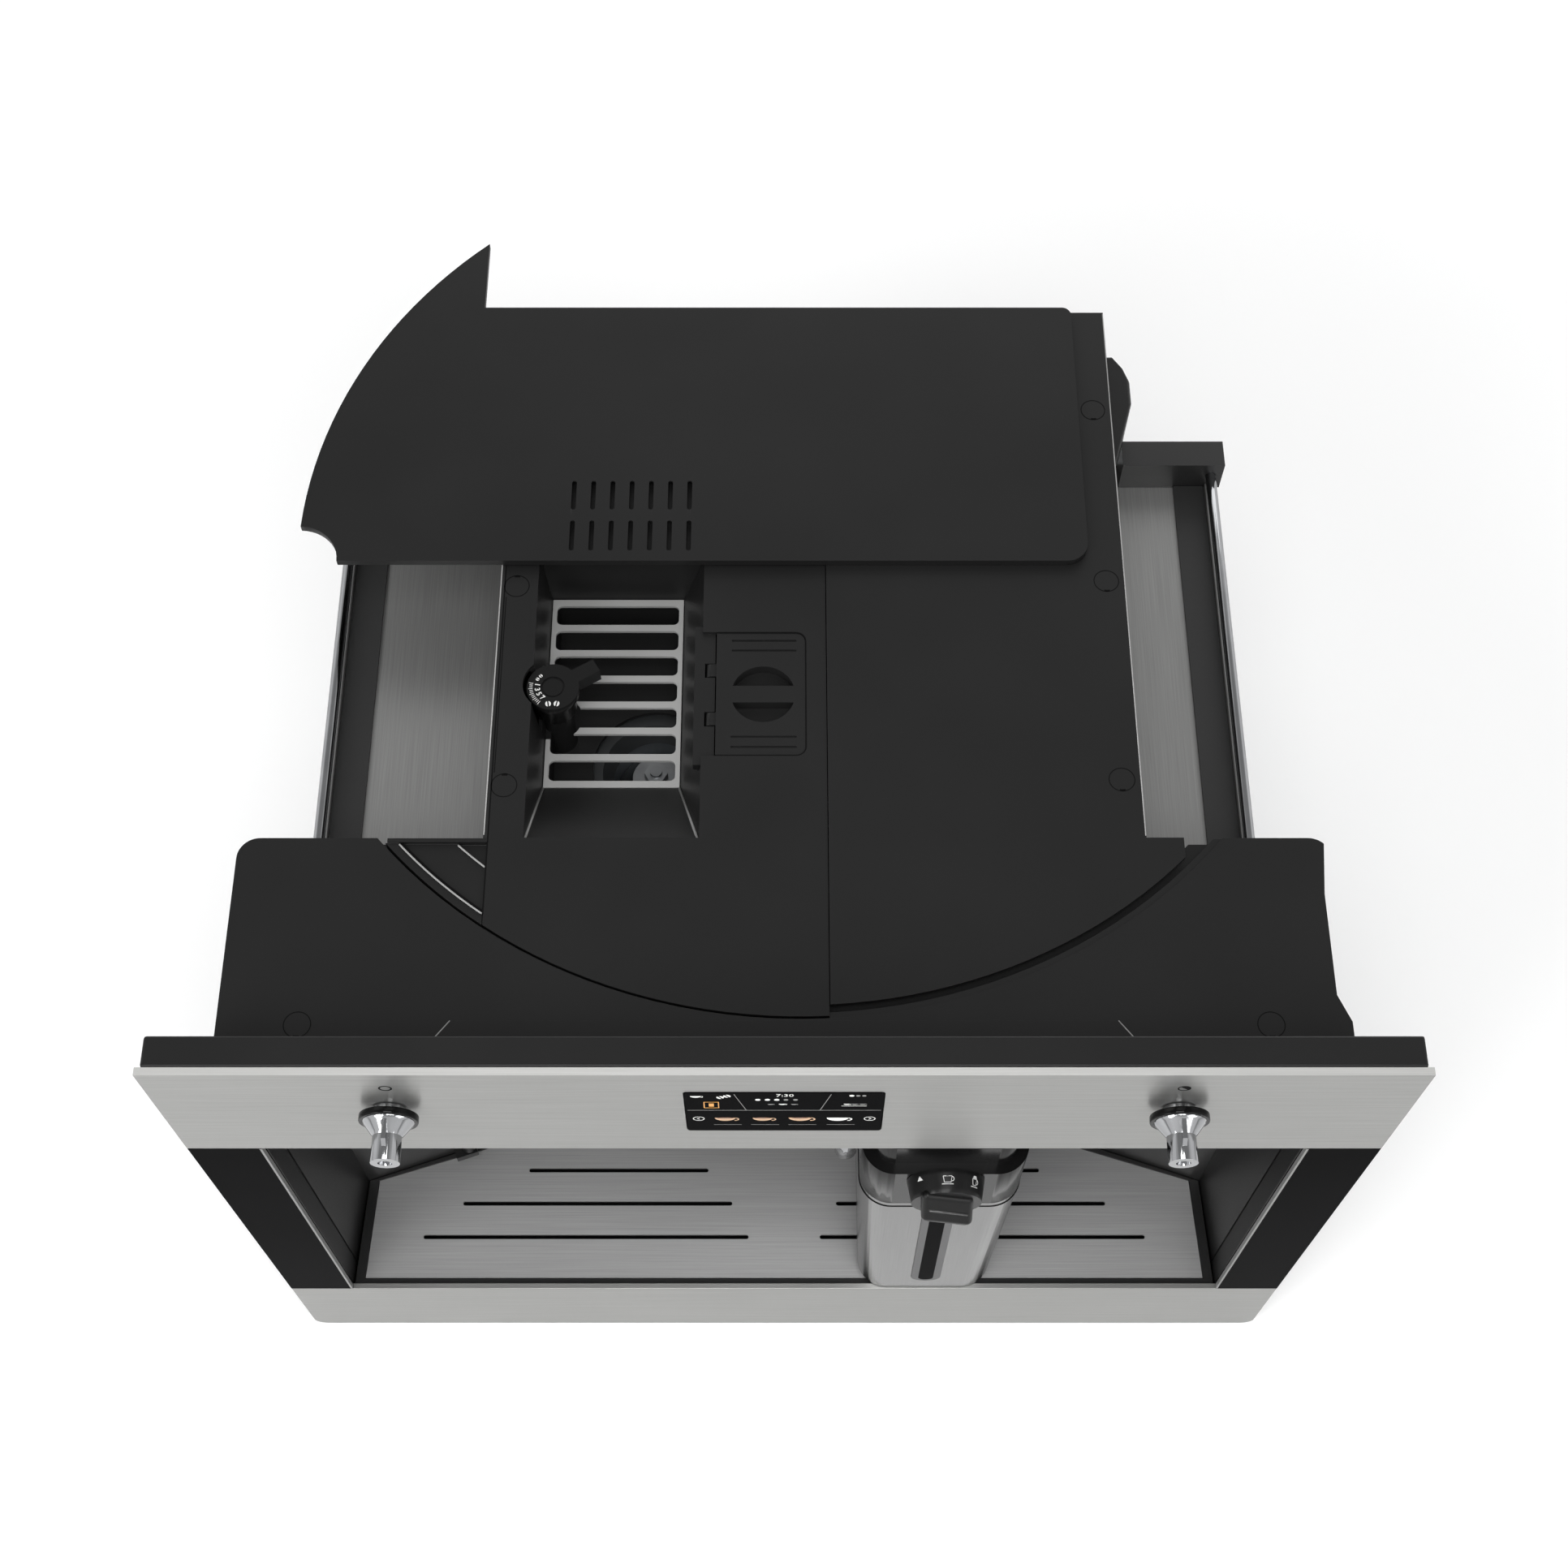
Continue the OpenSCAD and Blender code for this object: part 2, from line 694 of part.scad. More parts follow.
module top_strip() color(bright_steel) housed() difference() {
  block([-half_w, 0, mouth_top], [half_w, strip_d, panel_h]);
  block([-half_w + sheet_t, sheet_t, mouth_top + sheet_t],
    [half_w - sheet_t, strip_d + cut, panel_h - sheet_t]);
  stand_up(-cut, strip_d + cut) {
    rounded(-display_w/2 - hole_gap, display_z - display_h/2 - hole_gap, display_w/2 + hole_gap,
      display_z + display_h/2 + hole_gap, display_r);
    for (side = [-1, 1]) translate([side*knob_x, knob_z]) circle(d = spigot_dia + 2*hole_gap);
  }
}

// Black glass panels beside the niche
module glass_sides() color(jet) housed() both_sides()
  block([half_w - glass_w, 0, low_strip_h], [half_w, strip_d - seat, mouth_top]);

// Lower steel strip, the drawer's front, folded back on its upper and side edges
module strip_shape(inset) intersection() {
  rounded(-half_w + inset, inset, half_w - inset, low_strip_h + corner_r, corner_r - inset);
  translate([-half_w + inset, inset]) square([panel_w - 2*inset, low_strip_h - 2*inset]);
}

module bottom_strip() color(steel) housed() difference() {
  stand_up(0, strip_d - seat) strip_shape(0);
  stand_up(sheet_t, strip_d + cut) strip_shape(sheet_t);
}

// Drip basin behind the strip, and the grille that lies in its rim
basin_front = strip_d + seat;
rim_w = 6.5;
rim_drop = 3;
basin_gap = 0.5;

// Outline of the niche's floor, drawn in by the amount given
module niche_shape(y0, inset) polygon([[-niche_half + inset, y0], [niche_half - inset, y0],
  [niche_bend_x - inset, niche_bend_y], [niche_back_x - inset/2, niche_back_y - inset],
  [-niche_back_x + inset/2, niche_back_y - inset], [-niche_bend_x + inset, niche_bend_y]]);

module drip_basin() color(jet) housed() difference() {
  union() {
    level(basin_z, grille_z + seat) niche_shape(basin_front, basin_gap);
    block([-half_w + 2*glass_w, sheet_t, basin_z], [half_w - 2*glass_w, basin_front, grille_z]);
    block([bay_left, bay_start, basin_z], [bay_right, bay_rear, basin_z + basin_t]);
    for (x = [bay_left, bay_right - basin_t])
      block([x, niche_back_y - basin_gap - basin_t, basin_z], [x + basin_t, bay_rear, basin_z + bay_rim]);
    block([bay_left, bay_rear - basin_t, basin_z], [bay_right, bay_rear, basin_z + bay_rim]);
  }
  level(basin_z + basin_t, grille_z + cut) niche_shape(basin_front + rim_w, rim_w + basin_t);
  level(grille_z - grille_t - seat, grille_z + cut) niche_shape(basin_front + rim_w - rim_drop, rim_w);
}

slot_shares = [[0.117, 0.0835, 0.847], [0.297, 0.1226, 0.759], [0.478, 0.18, 0.607],
  [0.659, 0.2375, 0.452]];

module drip_grille() color(steel) housed() difference() {
  level(grille_z - grille_t, grille_z) niche_shape(basin_front + rim_w - rim_drop + seat, rim_w + seat);
  level(grille_z - grille_t - cut, grille_z + cut)
    both_sides() for (row = slot_shares) slot_x(niche_half*row[1], niche_half*row[2],
    frame_back + (niche_back_y - frame_back)*row[0], slot_w);
}

// Display glass, and the board behind it that carries the display and the two encoders
glass_proud = 0.4;
glass_t = 2;
board_y = 13;
board_t = 1.6;
board_margin = 8;
encoder_w = 13;
encoder_d = 7;
encoder_gap = 0.08;
spigot_end = board_y - 1;

module display_glass() color("#101114") housed()
  stand_up(-glass_proud, glass_t - glass_proud)
  rounded(-display_w/2, display_z - display_h/2, display_w/2, display_z + display_h/2,
  display_r - hole_gap);

module front_board() color("#2f5a3a") housed() difference() {
  union() {
    block([-knob_x - encoder_w, board_y, pocket_low + board_margin],
      [knob_x + encoder_w, board_y + board_t, panel_h - frame_wall - board_margin]);
    block([-display_w/2, glass_t - glass_proud + seat, display_z - display_h/2],
      [display_w/2, board_y, display_z + display_h/2]);
    for (side = [-1, 1]) block([side*knob_x - encoder_w/2, board_y - encoder_d, knob_z - encoder_w/2],
      [side*knob_x + encoder_w/2, board_y, knob_z + encoder_w/2]);
    for (x = [-knob_x/2, 0, knob_x/2]) block([x - encoder_w/2, board_y + board_t, knob_z - encoder_w/2],
      [x + encoder_w/2, frame_back - frame_back_t - seat, knob_z]);
  }
  for (side = [-1, 1]) rod_y(side*knob_x, board_y - encoder_d - cut, spigot_end + seat, knob_z,
    spigot_dia + 2*encoder_gap);
}

// Knobs: turned body with cone, gripping cylinder, fin, end socket and spigot; rubber ring behind
neck_dia = 16;
neck_back = 0.5;
ring_back = 4;
ring_len = 3.6;
cone_dia = 25;
cone_len = 7;
socket_dia = 7;
socket_deep = 3;
fin_t = 2.2;
fin_rise = 3.4;
fin_len = 11;
ring_gap = 0.05;
cone_start = ring_back + ring_len;

module knob_at(x) {
  rod_y(x, -neck_back, spigot_end, knob_z, spigot_dia);
  rod_y(x, -cone_start, -neck_back, knob_z, neck_dia);
  translate([x, -cone_start, knob_z]) rotate([90, 0, 0])
    cylinder(h = cone_len, d1 = cone_dia, d2 = grip_dia);
  difference() {
    rod_y(x, -knob_len, -cone_start, knob_z, grip_dia);
    rod_y(x, -knob_len - cut, -knob_len + socket_deep, knob_z, socket_dia);
  }
  translate([x - fin_t/2, -cone_start, knob_z])
    rotate([90, 0, 90]) linear_extrude(fin_t)
    polygon([[0, 0], [0, cone_dia/2 - fin_t/2], [-fin_len, grip_dia/2 + fin_rise],
    [-fin_len - fin_rise, grip_dia/2 - fin_t/2], [-fin_len, 0]]);
}

module ring_at(x) difference() {
  rod_y(x, -cone_start + ring_gap, -ring_back, knob_z, ring_dia);
  rod_y(x, -cone_start, -ring_back + cut, knob_z, neck_dia + 2*ring_gap);
}

module knob_left() color(chrome) housed() knob_at(-knob_x);
module knob_right() color(chrome) housed() knob_at(knob_x);
module ring_left() color(jet) housed() ring_at(-knob_x);
module ring_right() color(jet) housed() ring_at(knob_x);

// Niche moulding: floor under the drawer, side and back walls, ceiling, and the service opening
door_share = [0.31, 0.98];
door_rise = 9;
door_low = low_strip_h + door_rise;
door_drop = 12;
door_high = mouth_top - door_drop;
door_gap = 0.8;
door_t = 3;
wall_angle = atan2(niche_back_y - niche_bend_y, niche_bend_x - niche_back_x);
wall_len = sqrt(pow(niche_back_y - niche_bend_y, 2) + pow(niche_bend_x - niche_back_x, 2));
serve_from = wall_len*door_share[0];
serve_to = wall_len*door_share[1];
pivot_in = 4.5;
pivot_dia = 4;
pivot_len = 3;
pivot_gap = 0.1;
ear_w = 9;
ear_h = 6;
ear_d = 8;

// Frame along the left slanting wall: X runs along it from its front end, Y goes out behind it
module on_left_wall() translate([-niche_bend_x, niche_bend_y, 0]) rotate([0, 0, wall_angle]) children();

module niche_liner() color(jet) housed() {
  difference() {
    level(liner_floor, mouth_top + liner_t) niche_shape(frame_back, -liner_t);
    level(liner_floor + liner_t, mouth_top) niche_shape(frame_back - cut, 0);
    on_left_wall() block([serve_from, -cut, door_low], [serve_to, liner_t + 2*cut, door_high]);
    block([bay_left - gap, bay_start, liner_floor + liner_t],
      [bay_right + gap, niche_back_y + liner_t + cut, grounds_top + gap]);
  }
  on_left_wall() for (z = [door_low - ear_h - door_gap, door_high + door_gap]) difference() {
    block([serve_from - ear_w, -pivot_in - ear_d/2, z], [serve_from + ear_w/2, liner_t/2, z + ear_h]);
    post(serve_from, -pivot_in, z - cut, z + ear_h + cut, pivot_dia + 2*pivot_gap);
  }
}

// Service door in the left slanting wall, hung on two pivots in the moulding's ears
grip_w = 6;
grip_h = 60;
grip_proud = 8;
grip_in = 14;
door_back = 1;

module service_door() color(satin) housed() on_left_wall() difference() {
  union() {
    block([serve_from + door_gap + ear_d/2, -door_t + door_back, door_low + door_gap],
      [serve_to - door_gap, door_back, door_high - door_gap]);
    block([serve_from, -pivot_in - pivot_dia/2, door_low + door_gap],
      [serve_from + door_gap + ear_d, -door_t + door_back + cut, door_high - door_gap]);
    post(serve_from, -pivot_in, door_low + door_gap, door_high - door_gap, pivot_dia*2);
    post(serve_from, -pivot_in, door_low - door_gap - pivot_len, door_high + door_gap + pivot_len,
      pivot_dia);
    block([serve_to - grip_in - grip_w, -door_t - grip_proud, (door_low + door_high)/2 - grip_h/2],
      [serve_to - grip_in, -door_t + door_back, (door_low + door_high)/2 + grip_h/2]);
  }
}

// Coffee spout: guide on the back wall, sliding body and two nozzles
guide_w = 34;
guide_d = 16;
guide_foot = 11;
guide_low = spout_z - spout_travel - guide_foot;
guide_drop = 5;
guide_high = mouth_top - guide_drop;
tongue_w = 14;
tongue_d = 7;
spout_nose_r = 18;
nozzle_dia = 11;
nozzle_bore = 6;
nozzle_len = 18;
nozzle_x = 10;
nozzle_y = spout_front + 13;
niche_back_face = niche_back_y - seat;
guide_y = niche_back_face - guide_d;

module spout_guide() color(jet) housed() difference() {
  block([-guide_w/2, guide_y, guide_low], [guide_w/2, niche_back_face, guide_high]);
  block([-tongue_w/2 - seat, guide_y - cut, guide_low - cut],
    [tongue_w/2 + seat, guide_y + tongue_d + seat, guide_high + cut]);
}

module spout_body() color(satin) housed() difference() {
  union() {
    level(spout_z, spout_z + spout_h) rounded(-spout_w/2, spout_front, spout_w/2, guide_y - gap,
      spout_nose_r);
    block([-guide_w/2, guide_y - spout_nose_r, spout_z], [guide_w/2, guide_y - gap, spout_z + spout_h]);
    block([-tongue_w/2, guide_y - spout_nose_r, spout_z],
      [tongue_w/2, guide_y + tongue_d, spout_z + spout_h]);
  }
  for (x = [-nozzle_x, nozzle_x]) post(x, nozzle_y, spout_z - cut, spout_z + nozzle_len/2 + seat,
    nozzle_dia + 2*ring_gap);
}

module spout_nozzles() color(chrome) housed() for (x = [-nozzle_x, nozzle_x]) difference() {
  post(x, nozzle_y, spout_z - nozzle_len, spout_z + nozzle_len/2, nozzle_dia);
  post(x, nozzle_y, spout_z - nozzle_len - cut, spout_z + nozzle_len/2 - cut, nozzle_bore);
}

// Steam dock on the back wall, with the nozzle that the carafe's lid plugs onto
dock_w = 30;
dock_h = 34;
dock_z = lid_z + band_h/2;
steam_dia = 8;
steam_len = 12;
steam_gap = 0.3;
carafe_y = 1;
carafe_back = carafe_y + carafe_d;
dock_front = carafe_back + 4;

module steam_dock() color(jet) housed() {
  intersection() {
    block([carafe_x - dock_w/2, dock_front, dock_z - dock_h/2],
      [carafe_x + dock_w/2, niche_back_y, dock_z + dock_h/2]);
    level(dock_z - dock_h, dock_z + dock_h) niche_shape(0, seat);
  }
  rod_y(carafe_x, carafe_back - steam_len, dock_front, dock_z, steam_dia);
}

// Milk carafe: tapered steel vessel with round corners
carafe_r = 17;
carafe_t = 2;
foot_t = 3;
window_w = 17.6;
window_z = 100;
window_proud = 0.6;
window_gap = 0.15;
lid_seam = 0.4;
hull_t = 0.02;

module carafe_slab(w, inset, z) translate([0, 0, z])
  linear_extrude(hull_t) rounded(carafe_x - w/2 + inset, carafe_y + inset, carafe_x + w/2 - inset,
  carafe_back - inset, carafe_r - inset, $fn = 48);

module carafe_body() color(steel) housed() difference() {
  hull() {
    carafe_slab(foot_w, 0, carafe_z);
    carafe_slab(neck_w, 0, lid_z - lid_seam - hull_t);
  }
  hull() {
    carafe_slab(foot_w, carafe_t, carafe_z + foot_t);
    carafe_slab(neck_w, carafe_t, lid_z + cut);
  }
  block([carafe_x - window_w/2, carafe_y - cut, window_z + window_w/2],
    [carafe_x + window_w/2, carafe_y + carafe_t + cut, lid_z + cut]);
  rod_y(carafe_x, carafe_y - cut, carafe_y + carafe_t + cut, window_z + window_w/2, window_w);
}

module carafe_window() color(clear_grey) housed() {
  block([carafe_x - window_w/2 + window_gap, carafe_y - window_proud, window_z + window_w/2],
    [carafe_x + window_w/2 - window_gap, carafe_y + carafe_t, lid_z - lid_seam]);
  rod_y(carafe_x, carafe_y - window_proud, carafe_y + carafe_t, window_z + window_w/2,
    window_w - 2*window_gap);
}

// Carafe lid: steel band, black cap with a rounded step, and the port for the steam nozzle
cap_inset = 6;
port_deep = steam_len + 2;
foam_rise = 40;
foam_z = lid_z + foam_rise;
axle_dia = 8;
axle_gap = 0.3;
axle_len = 8;
plug_down = 6;
tube_dia = 6;
tube_x = carafe_x + 18;
tube_y = 60;

module carafe_lid() color(jet) housed() difference() {
  union() {
    level(lid_z, lid_z + band_h) rounded(carafe_x - neck_w/2, carafe_y, carafe_x + neck_w/2, carafe_back,
      carafe_r);
    level(lid_z + band_h, lid_z + band_h + cap_h)
      rounded(carafe_x - neck_w/2 + cap_inset, carafe_y + cap_inset, carafe_x + neck_w/2 - cap_inset,
      carafe_back - cap_inset, carafe_r - cap_inset);
    level(lid_z - plug_down, lid_z) rounded(carafe_x - foot_w/2 + cap_inset, carafe_y + cap_inset,
      carafe_x + foot_w/2 - cap_inset, carafe_back - cap_inset, carafe_r - cap_inset);
  }
  rod_y(carafe_x, carafe_back - port_deep, carafe_back + cut, dock_z, steam_dia + 2*steam_gap);
  rod_y(carafe_x, carafe_y - cut, carafe_y + axle_len + seat, foam_z, axle_dia + 2*axle_gap);
  post(tube_x, tube_y, lid_z - plug_down - cut, lid_z + plug_down, tube_dia + 2*ring_gap);
}

// Foam dial on the lid's front: tapered drum with a thumb wedge, turning on an axle in the lid
lever_w = 21;
lever_up = 9;
lever_down = 3;
lever_d = 6.5;
lever_lean = 7.5;
lever_dia = 6;
drum_back = carafe_y - seat;
drum_taper = 4;

module carafe_dial() color(satin) housed() translate([carafe_x, drum_back, foam_z]) {
  rotate([90, 0, 0]) cylinder(h = foam_len, d1 = foam_dia, d2 = foam_dia - drum_taper);
  rod_y(0, 0, axle_len, 0, axle_dia);
  translate([0, -foam_len, 0]) hull() for (side = [-1, 1],
    p = [[0, lever_up], [0, -lever_down], [-lever_d, -lever_down]])
    translate([side*lever_w/2, p[0], p[1] - side*lever_lean/2]) sphere(d = lever_dia, $fn = 24);
}

// Intake tube from the lid to the vessel's floor
module carafe_tube() color(clear_grey) housed() difference() {
  post(tube_x, tube_y, carafe_z + foot_t + plug_down, lid_z + plug_down - seat, tube_dia);
  post(tube_x, tube_y, carafe_z + foot_t, lid_z + plug_down + cut, tube_dia/2);
}

// Milk spout: arm out of the lid's left side, bent down to a chrome tip over the cup
milk_x = 34.8;
milk_y = 49.3;
milk_drop = 55;
milk_z = lid_z - milk_drop;
milk_dia = 12.6;
milk_tip = 24;
arm_dia = 8;
arm_rise = 10;
arm_z = lid_z + arm_rise;

module milk_spout() color(chrome) housed() difference() {
  union() {
    post(milk_x, milk_y, milk_z, milk_z + milk_tip, milk_dia);
    post(milk_x, milk_y, milk_z, arm_z, arm_dia);
    rod_x_axis(milk_x, carafe_x - neck_w/2 - seat, milk_y, arm_z, arm_dia);
    translate([milk_x, milk_y, arm_z]) sphere(d = arm_dia);
  }
  post(milk_x, milk_y, milk_z - cut, milk_z + milk_tip, arm_dia/2);
}

// Sliding hopper cover: folded plate with a round left edge, a quarter notch, a tip and two slot rows
plate_z = right_top + seat;
plate_top = plate_z + plate_h;
plate_t = 1.4;
plate_edge_t = 2;
plate_cx = 12.1;
plate_cy = 321.7;
plate_rear = body_rear;
front_r = 12;
rear_corner = 5;
tip_x = -171;
plate_slots = 7;
plate_slot_x = -114.5;
plate_slot_pitch = 10.5;
plate_slot_w = 2.6;
plate_slot_shares = [[0.038, 0.151], [0.192, 0.302]];
notch_x = -262;

module plate_shape(inset) difference() {
  union() {
    intersection() {
      translate([plate_cx, plate_cy]) circle(plate_r - inset);
      union() {
        translate([notch_x - notch_r, plate_front + inset])
          square([tip_x - notch_x + notch_r - inset, plate_tip - plate_front]);
        translate([notch_x, plate_front + inset])
          square([plate_cx - notch_x, plate_rear - plate_front - 2*inset]);
      }
    }
    translate([plate_cx, plate_front + inset])
      square([plate_right - front_r - plate_cx, plate_rear - plate_front - 2*inset]);
    translate([plate_cx, plate_front + front_r])
      square([plate_right - inset - plate_cx, plate_rear - plate_front - front_r - rear_corner]);
    translate([plate_cx, plate_rear - front_r])
      square([plate_right - rear_corner - plate_cx, front_r - inset]);
    translate([plate_right - front_r, plate_front + front_r]) circle(front_r - inset);
    translate([plate_right - rear_corner, plate_rear - rear_corner]) circle(rear_corner - inset);
  }
  translate([notch_x, plate_front]) circle(notch_r + inset);
}

module hopper_cover() color(satin) housed() difference() {
  level(plate_z, plate_top) plate_shape(0);
  level(plate_z - cut, plate_top - plate_t) plate_shape(plate_edge_t);
  level(plate_z - cut, plate_top + cut) for (i = [0 : plate_slots - 1], row = plate_slot_shares)
    translate([plate_slot_x + i*plate_slot_pitch, plate_front])
    rotate([0, 0, 90]) slot_x((plate_rear - plate_front)*row[0], (plate_rear - plate_front)*row[1], 0,
    plate_slot_w);
}

// Bean hopper under the middle cover: sloping mouth, ledge for the grate, floor with the burr throat
hop_t = 2;
hop_top = cover_low - seat;
grate_left = -128;
grate_right = -55;
grate_front = 190.7;
grate_rear = 308.4;
ledge = 3;
hop_deep = 27;
hop_floor = grate_z - hop_deep;
hop_floor_t = 2.5;
bulge_right = -34;
throat_dia = 68;
stem_dia = 12;
stem_gap = 0.35;
sleeve_up = 8;

// Upright prism between a lower and an upper rectangle
module sloping(x0, y0, x1, y1, z0, u0, v0, u1, v1, z1)
  polyhedron(points = [[x0, y0, z0], [x1, y0, z0], [x1, y1, z0], [x0, y1, z0], [u0, v0, z1], [u1, v0, z1],
  [u1, v1, z1], [u0, v1, z1]], faces = [[0, 1, 2, 3], [7, 6, 5, 4], [0, 4, 5, 1], [1, 5, 6, 2],
  [2, 6, 7, 3], [3, 7, 4, 0]]);

module bean_hopper() color(satin) housed() difference() {
  union() {
    difference() {
      union() {
        sloping(grate_left - hop_t, grate_front - hop_t, grate_right + hop_t, grate_rear + hop_t, grate_z,
          hop_left - hop_t, hop_front - hop_t, hop_right + hop_t, hop_rear + hop_t, hop_top);
        block([grate_left + ledge - hop_t, grate_front + ledge - hop_t, hop_floor],
          [bulge_right, grate_rear + hop_t, grate_z]);
        block([grate_left - hop_t, grate_front - hop_t, grate_z - 2*hop_t],
          [bulge_right, grate_rear + hop_t, grate_z]);
      }
      sloping(grate_left, grate_front, grate_right, grate_rear, grate_z, hop_left, hop_front, hop_right,
        hop_rear, hop_top + hull_t);
      block([grate_left, grate_front, grate_z - grate_t - seat],
        [grate_right, grate_rear, grate_z + hull_t]);
      block([grate_left + ledge, grate_front + ledge, hop_floor + hop_floor_t],
        [bulge_right - hop_t, grate_rear - ledge, grate_z - grate_t]);
    }
    post(grind_x, grind_y, hop_floor, grate_z + sleeve_up, stem_dia + 2*stem_gap + 2*hop_t);
  }
  post(burr_x, burr_y, hop_floor - cut, hop_floor + hop_floor_t + cut, throat_dia);
  post(grind_x, grind_y, hop_floor - cut, hop_top, stem_dia + 2*stem_gap);
  post(grind_x, grind_y, grate_z + sleeve_up, hop_top + cut, dial_dia + 2*knob_clear);
  block([block_left - gap, door_front - block_out - gap, block_top - block_h - seat],
    [door_left, door_rear + block_out + gap, hop_top + cut]);
}

// Grate over the beans' way to the burrs, cut away round the knob's stem
bar_w = 4;
frame_bar = 2.5;
grate_round = 3;
knob_cut = 13;
grate_gap = 0.4;

module hopper_grate() color("#a8a8a8") housed() level(grate_z - grate_t, grate_z) difference() {
  translate([grate_left + grate_gap, grate_front + grate_gap])
    square([grate_right - grate_left - 2*grate_gap, grate_rear - grate_front - 2*grate_gap]);
  for (i = [0 : grate_bars - 2]) rounded(grate_left + grate_gap + frame_bar,
    grate_front + grate_gap + bar_w + i*(grate_rear - grate_front - 2*grate_gap - bar_w)/(grate_bars - 1),
    grate_right - grate_gap - frame_bar, grate_front + grate_gap + (i + 1)*(grate_rear - grate_front -
    2*grate_gap - bar_w)/(grate_bars - 1), grate_round);
  translate([grind_x, grind_y]) circle(knob_cut);
  translate([grate_left - cut, grind_y - knob_cut]) square([grind_x - grate_left + cut, 2*knob_cut]);
}

// Outline of a spur gear with straight-sided teeth, one tooth pointing along X
tooth_top = 0.8;
tooth_root = 1.1;
backlash = 0.35;
flank = 0.364;

function tooth_half(teeth, r) = (PI*gear_module/4 - backlash/2 - (r - gear_module*teeth/2)*flank)/r*180/PI;
function polar(r, a) = [r*cos(a), r*sin(a)];
function gear_points(teeth) = let (tip = gear_module*(teeth/2 + tooth_top),
  root = gear_module*(teeth/2 - tooth_root)) [for (i = [0 : teeth - 1],
  s = [[root, -1], [tip, -1], [tip, 1], [root, 1]])
  polar(s[0], i*360/teeth + s[1]*tooth_half(teeth, s[0]))];

// Grind knob: numbered disc with a lever, stem through the grate and pinion under the hopper's floor
dial_sunk = 3.5;
dial_top = mid_top - dial_sunk;
dial_t = 5;
dial_lever = 26;
dial_lever_w = 8;
dial_lever_h = 9;
dial_lever_angle = 30.7;
collar_dia = 22;
collar_h = 16;
gear_drop = 13.4;
gear_z = hop_floor - gear_drop;
gear_t = 10;
mesh_angle = atan2(burr_y - grind_y, burr_x - grind_x);
cap_dia = 10.5;
cap_gap = 1;
cap_deep = 1;

module grind_knob() color(jet) housed() translate([grind_x, grind_y, 0]) {
  difference() {
    post(0, 0, dial_top - dial_t, dial_top, dial_dia);
    post(0, 0, dial_top - cap_deep, dial_top + cut, cap_dia + 2*cap_gap);
  }
  post(0, 0, dial_top - dial_t, dial_top - cap_deep/2, cap_dia);
  rotate([0, 0, dial_lever_angle]) block([dial_dia/2 - dial_t, -dial_lever_w/2, dial_top - dial_lever_h],
    [dial_lever, dial_lever_w/2, dial_top]);
  post(0, 0, dial_top - dial_t - collar_h, dial_top - dial_t, collar_dia);
  post(0, 0, gear_z, dial_top - dial_t, stem_dia);
  level(gear_z, gear_z + gear_t) rotate([0, 0, mesh_angle]) polygon(gear_points(pinion_teeth));
}

// Adjusting ring with the upper burr's cone, turned by the pinion
burr_top_dia = 58;
burr_low_dia = 47;

module adjusting_ring() color(zinc) housed() translate([burr_x, burr_y, gear_z]) difference() {
  linear_extrude(gear_t) rotate([0, 0, mesh_angle + 180 + 180/ring_teeth]) polygon(gear_points(ring_teeth));
  translate([0, 0, -cut]) cylinder(h = gear_t + 2*cut, d1 = burr_low_dia - cut, d2 = burr_top_dia + cut);
}

// Lower burr: cone with ribs, nut and shaft
cone_drop = 11.6;
cone_low = gear_z - cone_drop;
cone_h = 15;
cone_high = cone_low + cone_h;
cone_low_dia = 44;
cone_top_dia = 26;
nut_dia = 13;
nut_h = 6;
shaft_dia = 8;
rib_t = 2;

module lower_burr() color("#8d9092") housed() translate([burr_x, burr_y, 0]) {
  translate([0, 0, cone_low]) cylinder(h = cone_high - cone_low, d1 = cone_low_dia, d2 = cone_top_dia);
  translate([0, 0, cone_high]) cylinder(h = nut_h, d = nut_dia, $fn = 6);
  post(0, 0, case_z + case_floor + seat, cone_low, shaft_dia);
  post(0, 0, case_z + case_floor + seat, cone_high + nut_h + rib_t, nut_dia/2);
}

// Grinder motor: burr case with the outlet to the funnel chute, motor can, arm to the bulkhead
case_dia = 92;
case_h = 35.6;
case_z = gear_z - case_h;
case_top = gear_z - seat;
case_cavity = 50;
case_floor = 6;
motor_h = 91;
motor_z = case_z - motor_h;
arm_w = 40;
arm_up = 25;
arm_low = motor_z + arm_up;
arm_h = 70;
arm_top = arm_low + arm_h;
outlet_w = 20;
outlet_up = 2;
outlet_low = case_z + outlet_up;
outlet_h = 18;
outlet_high = outlet_low + outlet_h;
chute_left = -34;
motor_shaft_gap = 0.3;

module grinder_motor() color("#5b5e60") housed() difference() {
  union() {
    post(burr_x, burr_y, case_z, case_top, case_dia);
    post(burr_x, burr_y, motor_z, case_z, motor_dia);
    block([burr_x - arm_w/2, burr_y, arm_low], [burr_x + arm_w/2, bulk_y - seat, arm_top]);
  }
  post(burr_x, burr_y, case_z + case_floor + case_floor, case_top + cut, case_cavity);
  post(burr_x, burr_y, case_z + case_floor, case_top, shaft_dia + 2*motor_shaft_gap);
  block([burr_x, burr_y - outlet_w/2, case_z + 2*case_floor],
    [burr_x + case_dia, burr_y + outlet_w/2, outlet_high]);
}

// Door of the ground coffee funnel: plate with grooves, finger dish with a bar, and two knuckles
door_plate_t = 2.4;
plate_low = mid_top - door_plate_t - seat;
dish_x = -11;
dish_y = 227;
dish_deep = 7;
dish_wall = 1.6;
groove_in = 4.6;
groove_pitch = 6;
groove_deep = 0.8;
groove_t = 1.2;
groove_from = 8;

